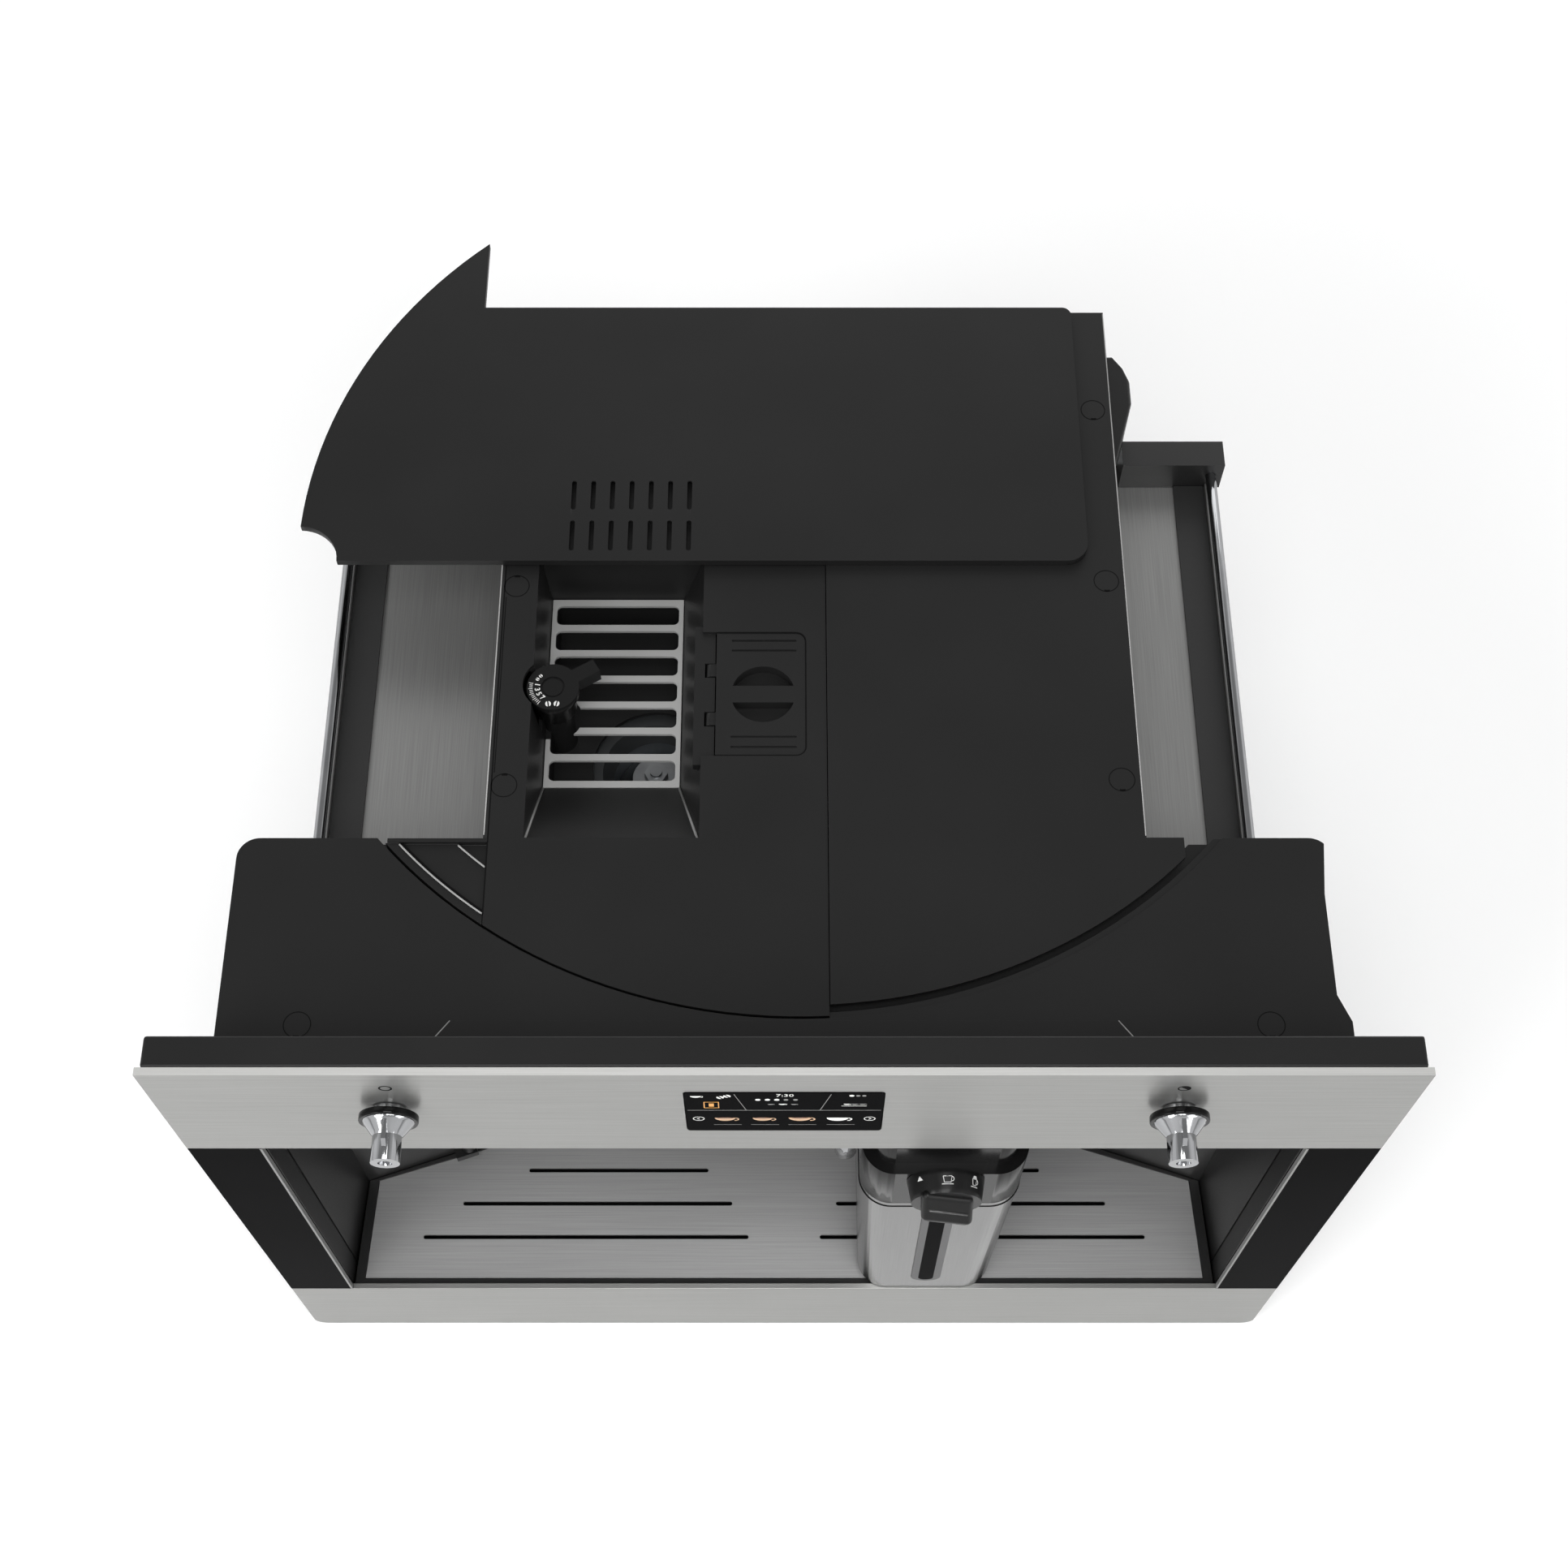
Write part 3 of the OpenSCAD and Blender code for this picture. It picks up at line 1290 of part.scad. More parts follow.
module funnel_door() color(satin) housed() difference() {
  union() {
    level(plate_low, mid_top - seat) {
      rounded(door_left + gap, door_front, door_right, door_rear, door_r);
      translate([door_left, door_front]) square([2*door_r, door_rear - door_front]);
    }
    post(dish_x, dish_y, mid_top - dish_deep - dish_wall, mid_top - seat, dish_dia + 2*dish_wall);
    for (i = [0, 1]) {
      rod_y(hinge_x, hinge_y(i) - knuckle_w/2 + gap/2, hinge_y(i) + knuckle_w/2 - gap/2, hinge_z,
        knuckle_dia);
      block([hinge_x, hinge_y(i) - knuckle_w/2 + gap/2, plate_low],
        [door_left + gap, hinge_y(i) + knuckle_w/2 - gap/2, plate_low + door_plate_t/2]);
      rod_y(hinge_x, hinge_y(i) - knuckle_w/2 - stub_len, hinge_y(i) + knuckle_w/2 + stub_len, hinge_z,
        stub_dia);
    }
  }
  difference() {
    post(dish_x, dish_y, mid_top - dish_deep, mid_top + cut, dish_dia);
    block([dish_x - dish_dia, dish_y - dish_bar/2, mid_top - dish_deep - cut],
      [dish_x + dish_dia, dish_y + dish_bar/2, mid_top - seat]);
  }
  for (y = [door_front + groove_in, door_front + groove_in + groove_pitch,
    door_rear - groove_in - groove_pitch, door_rear - groove_in])
    block([door_left + groove_from, y - groove_t/2, mid_top - seat - groove_deep],
    [door_right - groove_in, y + groove_t/2, mid_top]);
}

// Funnel chute: box under the door, duct beside the burr case, mouth bent over the brewing chamber
chute_t = 1.8;
chute_right = 10;
chute_front = 205;
chute_rear = 249;
duct_left = -22;
duct_bend = 240;
duct_mouth = 196;
mouth_w = 8;
flange_t = 2;
flange_top = plate_low - seat;
chute_arm = 12;
mouth_rear = brew_y - chamber_dia/2 - gap;
box_floor = gear_z + gear_t + hop_floor_t;

// Side view of the duct, drawn in by t on its walls
module duct_side(t, over) polygon([[chute_front + t, duct_bend], [chute_front + t, flange_top + over],
  [chute_rear - t, flange_top + over], [chute_rear - t, duct_bend],
  [mouth_rear + over, duct_bend - mouth_w - t], [mouth_rear + over, duct_mouth - over],
  [mouth_rear - mouth_w + t, duct_mouth - over]]);

module funnel_chute() color(jet) housed() difference() {
  union() {
    translate([duct_left, 0, 0]) rotate([90, 0, 90])
      linear_extrude(chute_right + chute_t - duct_left) duct_side(0, 0);
    block([chute_left, chute_front, box_floor], [duct_left, chute_rear, flange_top]);
    block([chute_left, door_front + gap, flange_top - flange_t], [door_right, door_rear - gap, flange_top]);
    block([chute_right - chute_arm, chute_rear - chute_t, head_low + head_h + seat],
      [chute_right, bulk_y - seat, head_low + head_h + chute_arm]);
  }
  translate([duct_left + chute_t, 0, 0]) rotate([90, 0, 90])
    linear_extrude(chute_right - duct_left - chute_t) duct_side(chute_t, cut);
  block([chute_left + chute_t, chute_front + chute_t, box_floor + chute_t],
    [duct_left + 2*chute_t, chute_rear - chute_t, flange_top + cut]);
  block([duct_left - cut, burr_y - outlet_w/2, outlet_low],
    [duct_left + chute_t + cut, burr_y + outlet_w/2, outlet_high]);
}

// Brew unit frame on the bulkhead: shelf, upright, head with the upper piston, screw bearings
head_room = 5;
head_low = chamber_z + chamber_h + brew_travel + head_room;
head_h = 28;
shelf_z = 98;
shelf_t = 4;
piston_gap = 0.3;
piston_down = 12;
brew_half = 34;
screw_x = brew_x + 44;
screw_y = brew_y + 18;
screw_dia = 8;
screw_gap = 0.3;
head_right = screw_x + 10;

module brew_frame() color("#6b6e70") housed() difference() {
  union() {
    block([brew_x - brew_half, brew_y - brew_half, shelf_z],
      [head_right, bulk_y - seat, shelf_z + shelf_t]);
    block([brew_x - brew_half, bulk_y - seat - shelf_t, shelf_z],
      [head_right, bulk_y - seat, head_low + head_h]);
    block([brew_x - brew_half, brew_y - brew_half, head_low],
      [head_right, bulk_y - seat, head_low + head_h]);
    post(brew_x, brew_y, head_low - piston_down, head_low, chamber_bore - 2*piston_gap);
  }
  post(screw_x, screw_y, shelf_z - cut, shelf_z + shelf_t + cut, screw_dia + 2*screw_gap);
  post(screw_x, screw_y, head_low - cut, head_low + head_h/2, screw_dia + 2*screw_gap);
}

// Brewing chamber: cup with a bore, and the lug that runs on the screw
chamber_floor = 7;
lug_h = 14;
lug_dia = 18;
lug_gap = 0.35;

module brew_chamber() color("#c7c2b4") housed() difference() {
  union() {
    post(brew_x, brew_y, chamber_z, chamber_z + chamber_h, chamber_dia);
    post(screw_x, screw_y, chamber_z + lug_h, chamber_z + 2*lug_h, lug_dia);
    block([brew_x, screw_y - lug_dia/2, chamber_z + lug_h],
      [screw_x, screw_y + lug_dia/4, chamber_z + 2*lug_h]);
  }
  post(brew_x, brew_y, chamber_z + chamber_floor, chamber_z + chamber_h + cut, chamber_bore);
  post(screw_x, screw_y, chamber_z, chamber_z + 3*lug_h, screw_dia + 2*lug_gap);
}

// Lead screw of the brew unit, with its gear wheel under the shelf
wheel_dia = 26;
wheel_h = 6;

module brew_screw() color(zinc) housed() {
  post(screw_x, screw_y, shelf_z - wheel_h - seat, head_low + head_h/2 - seat, screw_dia);
  post(screw_x, screw_y, shelf_z - wheel_h - seat, shelf_z - seat, wheel_dia);
}

// Water heater: ribbed block on two studs in front of the bulkhead
heater_x = 48;
heater_w = 48;
heater_d = 46;
heater_drop = 156.1;
heater_z = body_top - heater_drop;
heater_h = 90;
heater_rib = 3;
heater_ribs = 6;
stud_dia = 8;
stud_len = 10;

module water_heater() color(bright_steel) housed() {
  difference() {
    block([heater_x, bulk_y - stud_len - heater_d, heater_z],
      [heater_x + heater_w, bulk_y - stud_len, heater_z + heater_h]);
    for (i = [1 : heater_ribs]) block([heater_x - cut, bulk_y - stud_len - heater_d - cut,
      heater_z + i*heater_h/(heater_ribs + 1) - heater_rib],
      [heater_x + heater_w + cut, bulk_y - stud_len - heater_d + heater_rib,
      heater_z + i*heater_h/(heater_ribs + 1) + heater_rib]);
  }
  for (z = [heater_z + stud_len, heater_z + heater_h - stud_len])
    rod_y(heater_x + heater_w/2, bulk_y - stud_len, bulk_y - seat, z, stud_dia);
}

// Pump: coil body with its pole frame, lying on two rubber feet
pump_x = 0;
pump_len = 78;
pump_y = 380;
pump_z = 46;
pump_dia = 26;
pump_coil = 34;
pump_coil_w = 44;
pump_foot = 10;

module water_pump() color("#3a3c3e") housed() {
  rod_x_axis(pump_x, pump_x + pump_len, pump_y, pump_z, pump_dia);
  rod_x_axis(pump_x - pump_foot, pump_x, pump_y, pump_z, pump_dia/2);
  block([pump_x + pump_foot, pump_y - pump_coil_w/2, pump_z - pump_coil/2],
    [pump_x + pump_foot + pump_coil, pump_y + pump_coil_w/2, pump_z + pump_coil/2]);
  for (x = [pump_x + pump_foot/2, pump_x + pump_len - pump_foot])
    block([x - pump_foot/2, pump_y - pump_foot, pan_top + seat],
    [x + pump_foot/2, pump_y + pump_foot, pump_z]);
}

// Power board on spacers behind the bulkhead, with its heat sink and relays
pcb_left = -120;
pcb_right = 40;
pcb_low = 130;
pcb_high = 260;
pcb_gap = 8;
sink_w = 50;
sink_h = 40;
sink_d = 22;

module control_board() color("#2f5a3a") housed() {
  block([pcb_left, bulk_y + bulk_t + pcb_gap, pcb_low], [pcb_right, bulk_y + bulk_t + pcb_gap + board_t,
    pcb_high]);
  for (x = [pcb_left + pcb_gap, pcb_right - pcb_gap], z = [pcb_low + pcb_gap, pcb_high - pcb_gap])
    rod_y(x, bulk_y + bulk_t + seat, bulk_y + bulk_t + pcb_gap, z, stud_dia);
  block([pcb_left + pcb_gap, bulk_y + bulk_t + pcb_gap + board_t, pcb_low + pcb_gap],
    [pcb_left + pcb_gap + sink_w, bulk_y + bulk_t + pcb_gap + sink_d, pcb_low + pcb_gap + sink_h]);
  for (i = [0 : 2]) block([pcb_right - (i + 1)*sink_d - i*pcb_gap, bulk_y + bulk_t + pcb_gap + board_t,
    pcb_high - sink_h], [pcb_right - i*(sink_d + pcb_gap) - pcb_gap/2, bulk_y + bulk_t + pcb_gap + sink_d,
    pcb_high - pcb_gap]);
}

// Container for the used grounds, standing in the drawer's bay under the brew unit
grounds_t = 2;
grounds_floor = basin_z + basin_t + seat;

module grounds_container() color(satin) housed() difference() {
  block([grounds_left, grounds_front, grounds_floor], [grounds_right, grounds_rear, grounds_top]);
  block([grounds_left + grounds_t, grounds_front + grounds_t, grounds_floor + grounds_t],
    [grounds_right - grounds_t, grounds_rear - grounds_t, grounds_top + cut]);
}

// Water tank behind the right wall's opening, open above, with a finger pocket in its face
tank_right = body_right - seat;
pocket_w = 44;
pocket_h = 30;
pocket_d = 14;
pocket_drop = 45;
pocket_z = tank_top - pocket_drop;
tank_mid = (tank_front + tank_rear)/2;

module water_tank() color(clear_grey) housed() difference() {
  block([tank_left + gap, tank_front, tank_floor], [tank_right, tank_rear, tank_top]);
  difference() {
    block([tank_left + gap + tank_t, tank_front + tank_t, tank_floor + tank_t],
      [tank_right - tank_t, tank_rear - tank_t, tank_top + cut]);
    block([tank_right - pocket_d - tank_t, tank_mid - pocket_w/2 - tank_t, pocket_z - tank_t],
      [tank_right, tank_mid + pocket_w/2 + tank_t, pocket_z + pocket_h + tank_t]);
  }
  block([tank_right - pocket_d, tank_mid - pocket_w/2, pocket_z],
    [tank_right + cut, tank_mid + pocket_w/2, pocket_z + pocket_h]);
}

// Cup racks: steel shelves hung on the body's sides, with a lip at the outer edge
rack_t = 1.2;
rack_outer = 247;
rack_lip = 6;
rack_front = shell_rear - back_r + seat;
rack_flange = 5;

module rack_shelf(inner, outer, side) {
  block([min(inner, outer), rack_front, rack_z], [max(inner, outer), rack_rear, rack_z + rack_t]);
  block([min(outer, outer - side*rack_t), rack_front, rack_z],
    [max(outer, outer - side*rack_t), bracket_front - seat, rack_z + rack_lip]);
  block([min(inner, inner + side*rack_t), rack_front, rack_z - rack_flange],
    [max(inner, inner + side*rack_t), rack_rear, rack_z]);
}

module left_rack() color(steel) housed() rack_shelf(body_left - seat, -rack_outer, -1);
module right_rack() color(steel) housed() rack_shelf(body_right + seat, rack_outer, 1);

// Rods, rear brackets and rubber mats of the racks
bracket_in = 196;
bracket_out = 255;
bracket_h = 22;
bracket_front = rack_rear - bracket_d;
mat_w = 18;
mat_t = 2;
rod_in = 3;

module rack_fittings() color(jet) housed() both_sides() {
  difference() {
    block([bracket_in, bracket_front, rack_z + rack_t + seat],
      [bracket_out, rack_rear, rack_z + rack_t + bracket_h]);
    rod_y(rod_x, bracket_front - cut, rack_rear - rod_in, rod_z, rod_dia + 2*ring_gap);
  }
  rod_y(rod_x, rack_front, rack_rear - rod_in - seat, rod_z, rod_dia);
  block([rack_outer - rack_t - mat_w, rack_front, rack_z + rack_t + seat],
    [rack_outer - rack_t - seat, bracket_front - seat, rack_z + rack_t + mat_t]);
}

// Side grip on the right wall, by which the machine is drawn and steadied
grip_out = 197;
grip_front = 372;
grip_rear = 457;
grip_rise = 24;
grip_low = rack_z + grip_rise;
grip_drop = 7.5;
grip_top = shell_top - grip_drop;
grip_full = 424;
grip_corner = 9;

module side_grip() color(jet) housed() level(grip_low, grip_top - trim_h + skirt_h)
  polygon([[body_right + seat, grip_front], [body_right + 2*cut, grip_front], [grip_out, grip_full],
  [grip_out, grip_rear - grip_corner*2], [grip_out - grip_corner/3, grip_rear - grip_corner],
  [grip_out - grip_corner, grip_rear], [body_right + seat, grip_rear]]);

// Power inlet and rocker switch in the rear panel
inlet_d = 22;
socket_w = 25;
socket_h = 17;
socket_d = 16;
blade_w = 2;
blade_h = 5;
blade_len = 8;
blade_pitch = 7;
flange_w = 3;
rocker_w = 14;
rocker_h = 20;
rocker_tilt = 8;
rocker_dia = 16;
rocker_gap = 0.5;
socket_x = inlet_x - 12;
rocker_x = inlet_x + 17;
rocker_deep = 9;

module power_inlet() color(jet) housed() difference() {
  union() {
    block([inlet_x - inlet_w/2 + seat, body_rear - inlet_d, inlet_z - inlet_h/2 + seat],
      [inlet_x + inlet_w/2 - seat, body_rear, inlet_z + inlet_h/2 - seat]);
    block([inlet_x - inlet_w/2 - flange_w, body_rear + seat, inlet_z - inlet_h/2 - flange_w],
      [inlet_x + inlet_w/2 + flange_w, body_rear + seat + blade_w, inlet_z + inlet_h/2 + flange_w]);
    block([inlet_x - inlet_w/2 + seat, body_rear - blade_w, inlet_z - inlet_h/2 + seat],
      [inlet_x + inlet_w/2 - seat, body_rear + blade_w, inlet_z + inlet_h/2 - seat]);
  }
  difference() {
    block([socket_x - socket_w/2, body_rear - socket_d, inlet_z - socket_h/2],
      [socket_x + socket_w/2, body_rear + blade_w + cut, inlet_z + socket_h/2]);
    for (i = [-1, 0, 1]) block([socket_x + i*blade_pitch - blade_w/2, body_rear - socket_d - cut,
      inlet_z - blade_h/2], [socket_x + i*blade_pitch + blade_w/2, body_rear - socket_d + blade_len,
      inlet_z + blade_h/2]);
  }
  block([rocker_x - rocker_w/2 - rocker_gap, body_rear - rocker_deep - rocker_dia/2,
    inlet_z - rocker_h/2 - rocker_gap], [rocker_x + rocker_w/2 + rocker_gap, body_rear + blade_w + cut,
    inlet_z + rocker_h/2 + rocker_gap]);
}

// Rocker: rounded back turning in the inlet's well, dished face, resting tilted
module rocker_switch() color("#1d1d1f") housed()
  translate([0, body_rear - rocker_deep, inlet_z]) rotate([rocker_tilt, 0, 0]) {
  rod_x_axis(rocker_x - rocker_w/2, rocker_x + rocker_w/2, 0, 0, rocker_dia - blade_w);
  translate([rocker_x - rocker_w/2, 0, 0]) rotate([90, 0, 90])
    linear_extrude(rocker_w) polygon([[0, -rocker_h/2 + cut], [rocker_deep + blade_w, -rocker_h/2 + cut],
    [rocker_deep, 0], [rocker_deep + blade_w, rocker_h/2 - cut], [0, rocker_h/2 - cut]]);
}

fixed_rails();
middle_rails();
inner_rails();
base_pan();
rear_panel();
left_wall();
right_wall();
bulkhead();
front_housing();
mid_cover();
right_cover();
corner_cover();
screw_plugs();
front_frame();
top_strip();
glass_sides();
bottom_strip();
drip_basin();
drip_grille();
display_glass();
front_board();
knob_left();
ring_left();
knob_right();
ring_right();
niche_liner();
service_door();
spout_guide();
spout_body();
spout_nozzles();
steam_dock();
carafe_body();
carafe_lid();
carafe_dial();
carafe_window();
carafe_tube();
milk_spout();
hopper_cover();
bean_hopper();
hopper_grate();
grind_knob();
adjusting_ring();
lower_burr();
grinder_motor();
funnel_door();
funnel_chute();
brew_frame();
brew_chamber();
brew_screw();
water_heater();
water_pump();
control_board();
grounds_container();
water_tank();
left_rack();
right_rack();
rack_fittings();
side_grip();
power_inlet();
rocker_switch();
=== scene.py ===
import math
import bmesh
import bpy
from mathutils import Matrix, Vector


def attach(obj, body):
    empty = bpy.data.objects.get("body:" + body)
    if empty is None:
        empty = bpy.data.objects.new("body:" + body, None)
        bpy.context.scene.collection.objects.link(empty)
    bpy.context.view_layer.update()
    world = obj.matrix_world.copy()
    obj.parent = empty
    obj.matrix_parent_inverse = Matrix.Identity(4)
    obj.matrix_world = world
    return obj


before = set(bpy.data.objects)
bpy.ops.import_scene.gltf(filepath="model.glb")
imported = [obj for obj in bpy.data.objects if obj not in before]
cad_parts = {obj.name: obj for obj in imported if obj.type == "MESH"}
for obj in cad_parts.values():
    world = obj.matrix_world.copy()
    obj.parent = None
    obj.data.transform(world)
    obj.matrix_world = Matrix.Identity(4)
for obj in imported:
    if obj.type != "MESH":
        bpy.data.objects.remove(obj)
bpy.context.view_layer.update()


# Slide rails: two L rails that are screwed down, a slider in each and a channel under the machine.
# Cold rolled steel strip, folded and zinc plated, which leaves a dull blue-grey sheen with faint spangles.
def linear(hex_code):
    """The linear colour of an sRGB hex code, as the shader takes it."""
    parts = [int(hex_code[i:i + 2], 16) / 255 for i in (1, 3, 5)]
    return [p / 12.92 if p < 0.04045 else ((p + 0.055) / 1.055) ** 2.4 for p in parts] + [1]


def add(tree, kind, inputs=(), **settings):
    """Adds a shader node with its settings, and sets or links its inputs.
    A Mix node's inputs have no names of their own: 6 and 7 are its two colours, 2 and 3 its two numbers."""
    made = tree.nodes.new("ShaderNode" + kind)
    for name, value in settings.items():
        setattr(made, name, value)
    for name, value in dict(inputs).items():
        if isinstance(value, bpy.types.NodeSocket):
            tree.links.new(value, made.inputs[name])
        else:
            made.inputs[name].default_value = value
    return made


def finish(name, tree_of):
    """A material named for its finish. tree_of adds its nodes and returns the shader's socket."""
    made = bpy.data.materials.new(name)
    made.use_nodes = True
    made.node_tree.nodes.clear()
    add(made.node_tree, "OutputMaterial", {"Surface": tree_of(made.node_tree)})
    return made


def coat(material, *names):
    """Gives CAD nodes their finish."""
    for name in names:
        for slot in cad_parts[name].material_slots:
            slot.material = material


def soften(width_mm, *names, whole_faces=False):
    """Breaks the sharp edges of CAD nodes, as a press brake, a mould or a file does.
    With whole_faces, the triangles of each flat face are joined first."""
    seam_mm, flat_degrees, sharp_degrees = 0.02, 0.3, 35
    for name in names:
        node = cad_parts[name]
        weld = node.modifiers.new("closed seams", "WELD")
        weld.merge_threshold = seam_mm / 1000
        if whole_faces:
            flat = node.modifiers.new("whole faces", "DECIMATE")
            flat.decimate_type, flat.angle_limit = "DISSOLVE", math.radians(flat_degrees)
        edge = node.modifiers.new("broken edges", "BEVEL")
        edge.width, edge.segments, edge.limit_method = width_mm / 1000, 2, "ANGLE"
        edge.angle_limit, edge.harden_normals = math.radians(sharp_degrees), True


def plated(name, dark, light, spangle_mm, rough):
    """Zinc on steel sheet: crystals of slightly different grey, spangle_mm across."""
    def tree_of(tree):
        spot = add(tree, "TexCoord").outputs["Object"]
        crystal = add(tree, "TexVoronoi", {"Vector": spot, "Scale": 1000 / spangle_mm}).outputs["Color"]
        flake = add(tree, "RGBToBW", {"Color": crystal}).outputs["Val"]
        tone = add(tree, "Mix", {"Factor": flake, 6: linear(dark), 7: linear(light)}, data_type="RGBA")
        gloss = add(tree, "MapRange", {"Value": flake, "To Min": rough - 0.05, "To Max": rough + 0.08})
        return add(tree, "BsdfPrincipled", {
            "Base Color": tone.outputs[2], "Metallic": 1.0,
            "Roughness": gloss.outputs["Result"]}).outputs["BSDF"]
    return finish(name, tree_of)


zinc_plated_strip = plated("zinc_plated_steel_strip", "#92989c", "#b8bdc0", spangle_mm=9, rough=0.36)
coat(zinc_plated_strip, "fixed_rails", "middle_rails", "inner_rails")
soften(0.3, "fixed_rails", "middle_rails", "inner_rails")

# Floor pan and bulkhead: the folded sheet that carries the works.
# Hot dip galvanised, so its crystals are larger than the rails' and show as lighter and darker patches.
galvanised_sheet = plated("hot_dip_galvanised_sheet", "#9da2a4", "#c2c6c8", spangle_mm=16, rough=0.42)
coat(galvanised_sheet, "base_pan", "bulkhead")
soften(0.3, "base_pan", "bulkhead")


# Body walls: left, right and rear sheets, powder coated black after folding.
# The baked powder leaves a fine orange peel, 1.6 mm across, and a soft sheen.
def powder(tree):
    spot = add(tree, "TexCoord").outputs["Object"]
    peel = add(tree, "TexNoise", {"Vector": spot, "Scale": 1000 / 1.6, "Detail": 3.0}).outputs["Fac"]
    cloud = add(tree, "TexNoise", {"Vector": spot, "Scale": 1000 / 60}).outputs["Fac"]
    tone = add(tree, "Mix", {"Factor": cloud, 6: linear("#141414"), 7: linear("#232323")}, data_type="RGBA")
    gloss = add(tree, "MapRange", {"Value": peel, "To Min": 0.32, "To Max": 0.52})
    relief = add(tree, "Bump", {"Height": peel, "Distance": 0.04 / 1000})
    return add(tree, "BsdfPrincipled", {
        "Base Color": tone.outputs[2], "Roughness": gloss.outputs["Result"], "Specular IOR Level": 0.3,
        "Normal": relief.outputs["Normal"]}).outputs["BSDF"]


powder_coated_black = finish("powder_coated_black_sheet", powder)
coat(powder_coated_black, "rear_panel", "left_wall", "right_wall")
soften(0.3, "rear_panel", "left_wall", "right_wall")


# Brew unit, behind the bulkhead: frame with the fixed piston, lifting chamber and lead screw.
# Glass filled nylon has a dull, slightly coarse skin, acetal a smooth creamy one.
# The stainless screw is rolled, which leaves bright fine rings.
def moulded(name, dark, light, rough, grain_mm=0.6, depth_mm=0.02, shine=0.5):
    """Moulded plastic: its tone varies in slow clouds, and the mould's eroded wall leaves a fine grain."""
    def tree_of(tree):
        spot = add(tree, "TexCoord").outputs["Object"]
        cloud = add(tree, "TexNoise", {"Vector": spot, "Scale": 1000 / 80}).outputs["Fac"]
        grain = add(tree, "TexNoise", {
            "Vector": spot, "Scale": 1000 / grain_mm, "Detail": 3.0}).outputs["Fac"]
        tone = add(tree, "Mix", {"Factor": cloud, 6: linear(dark), 7: linear(light)}, data_type="RGBA")
        gloss = add(tree, "MapRange", {"Value": grain, "To Min": rough - 0.08, "To Max": rough + 0.08})
        relief = add(tree, "Bump", {"Height": grain, "Distance": depth_mm / 1000})
        return add(tree, "BsdfPrincipled", {
            "Base Color": tone.outputs[2], "Roughness": gloss.outputs["Result"],
            "Specular IOR Level": shine, "Normal": relief.outputs["Normal"]}).outputs["BSDF"]
    return finish(name, tree_of)


def turned(name, dark, light, pitch_mm, rough):
    """A turned or rolled metal, with the tool's fine rings across Z, each broken into 20 mm lengths."""
    def tree_of(tree):
        spot = add(tree, "TexCoord").outputs["Object"]
        around = 1000 / 20
        stretched = add(tree, "Mapping", {"Vector": spot, "Scale": (around, around, 1000 / pitch_mm)})
        rings = add(tree, "TexNoise", {"Vector": stretched.outputs["Vector"], "Scale": 1.0}).outputs["Fac"]
        tone = add(tree, "Mix", {"Factor": rings, 6: linear(dark), 7: linear(light)}, data_type="RGBA")
        gloss = add(tree, "MapRange", {"Value": rings, "To Min": rough - 0.1, "To Max": rough + 0.1})
        relief = add(tree, "Bump", {"Height": rings, "Distance": 0.02 / 1000})
        return add(tree, "BsdfPrincipled", {
            "Base Color": tone.outputs[2], "Metallic": 1.0, "Roughness": gloss.outputs["Result"],
            "Normal": relief.outputs["Normal"]}).outputs["BSDF"]
    return finish(name, tree_of)


glass_filled_nylon = moulded("glass_filled_nylon_grey", "#56595b", "#717476",
                             rough=0.5, grain_mm=1.2, depth_mm=0.03)
white_acetal = moulded("natural_acetal", "#d4ccb9", "#e6e0d0", rough=0.38, grain_mm=2, depth_mm=0.01)
rolled_screw_steel = turned("rolled_stainless_screw", "#8b8d8e", "#cfd1d2", pitch_mm=1.2, rough=0.28)
coat(glass_filled_nylon, "brew_frame")
coat(white_acetal, "brew_chamber")
coat(rolled_screw_steel, "brew_screw")
soften(0.4, "brew_frame", "brew_chamber")


# Water heater, pump and control boards, hung on the bulkhead, the pan or the front frame.
# The heater is die cast aluminium with a pebbled satin skin, and the pump's coil has a dull grey lacquer.
# The boards are glass-epoxy, with faint copper tracks under a glossy green mask.
def cast(tree):
    spot = add(tree, "TexCoord").outputs["Object"]
    skin = add(tree, "TexNoise", {"Vector": spot, "Scale": 1000 / 2.2, "Detail": 4.0}).outputs["Fac"]
    tone = add(tree, "Mix", {"Factor": skin, 6: linear("#9a9c9d"), 7: linear("#cbcdce")}, data_type="RGBA")
    gloss = add(tree, "MapRange", {"Value": skin, "To Min": 0.38, "To Max": 0.64})
    relief = add(tree, "Bump", {"Height": skin, "Distance": 0.08 / 1000})
    return add(tree, "BsdfPrincipled", {
        "Base Color": tone.outputs[2], "Metallic": 1.0, "Roughness": gloss.outputs["Result"],
        "Normal": relief.outputs["Normal"]}).outputs["BSDF"]


def solder_mask(tree):
    spot = add(tree, "TexCoord").outputs["Object"]
    track = add(tree, "TexBrick", {
        "Vector": spot, "Scale": 1000 / 6, "Color1": linear("#235f3a"), "Color2": linear("#1d5432"),
        "Mortar": linear("#347f4f"), "Mortar Size": 0.05})
    relief = add(tree, "Bump", {"Height": track.outputs["Fac"], "Distance": 0.04 / 1000})
    return add(tree, "BsdfPrincipled", {
        "Base Color": track.outputs["Color"], "Roughness": 0.32,
        "Normal": relief.outputs["Normal"]}).outputs["BSDF"]


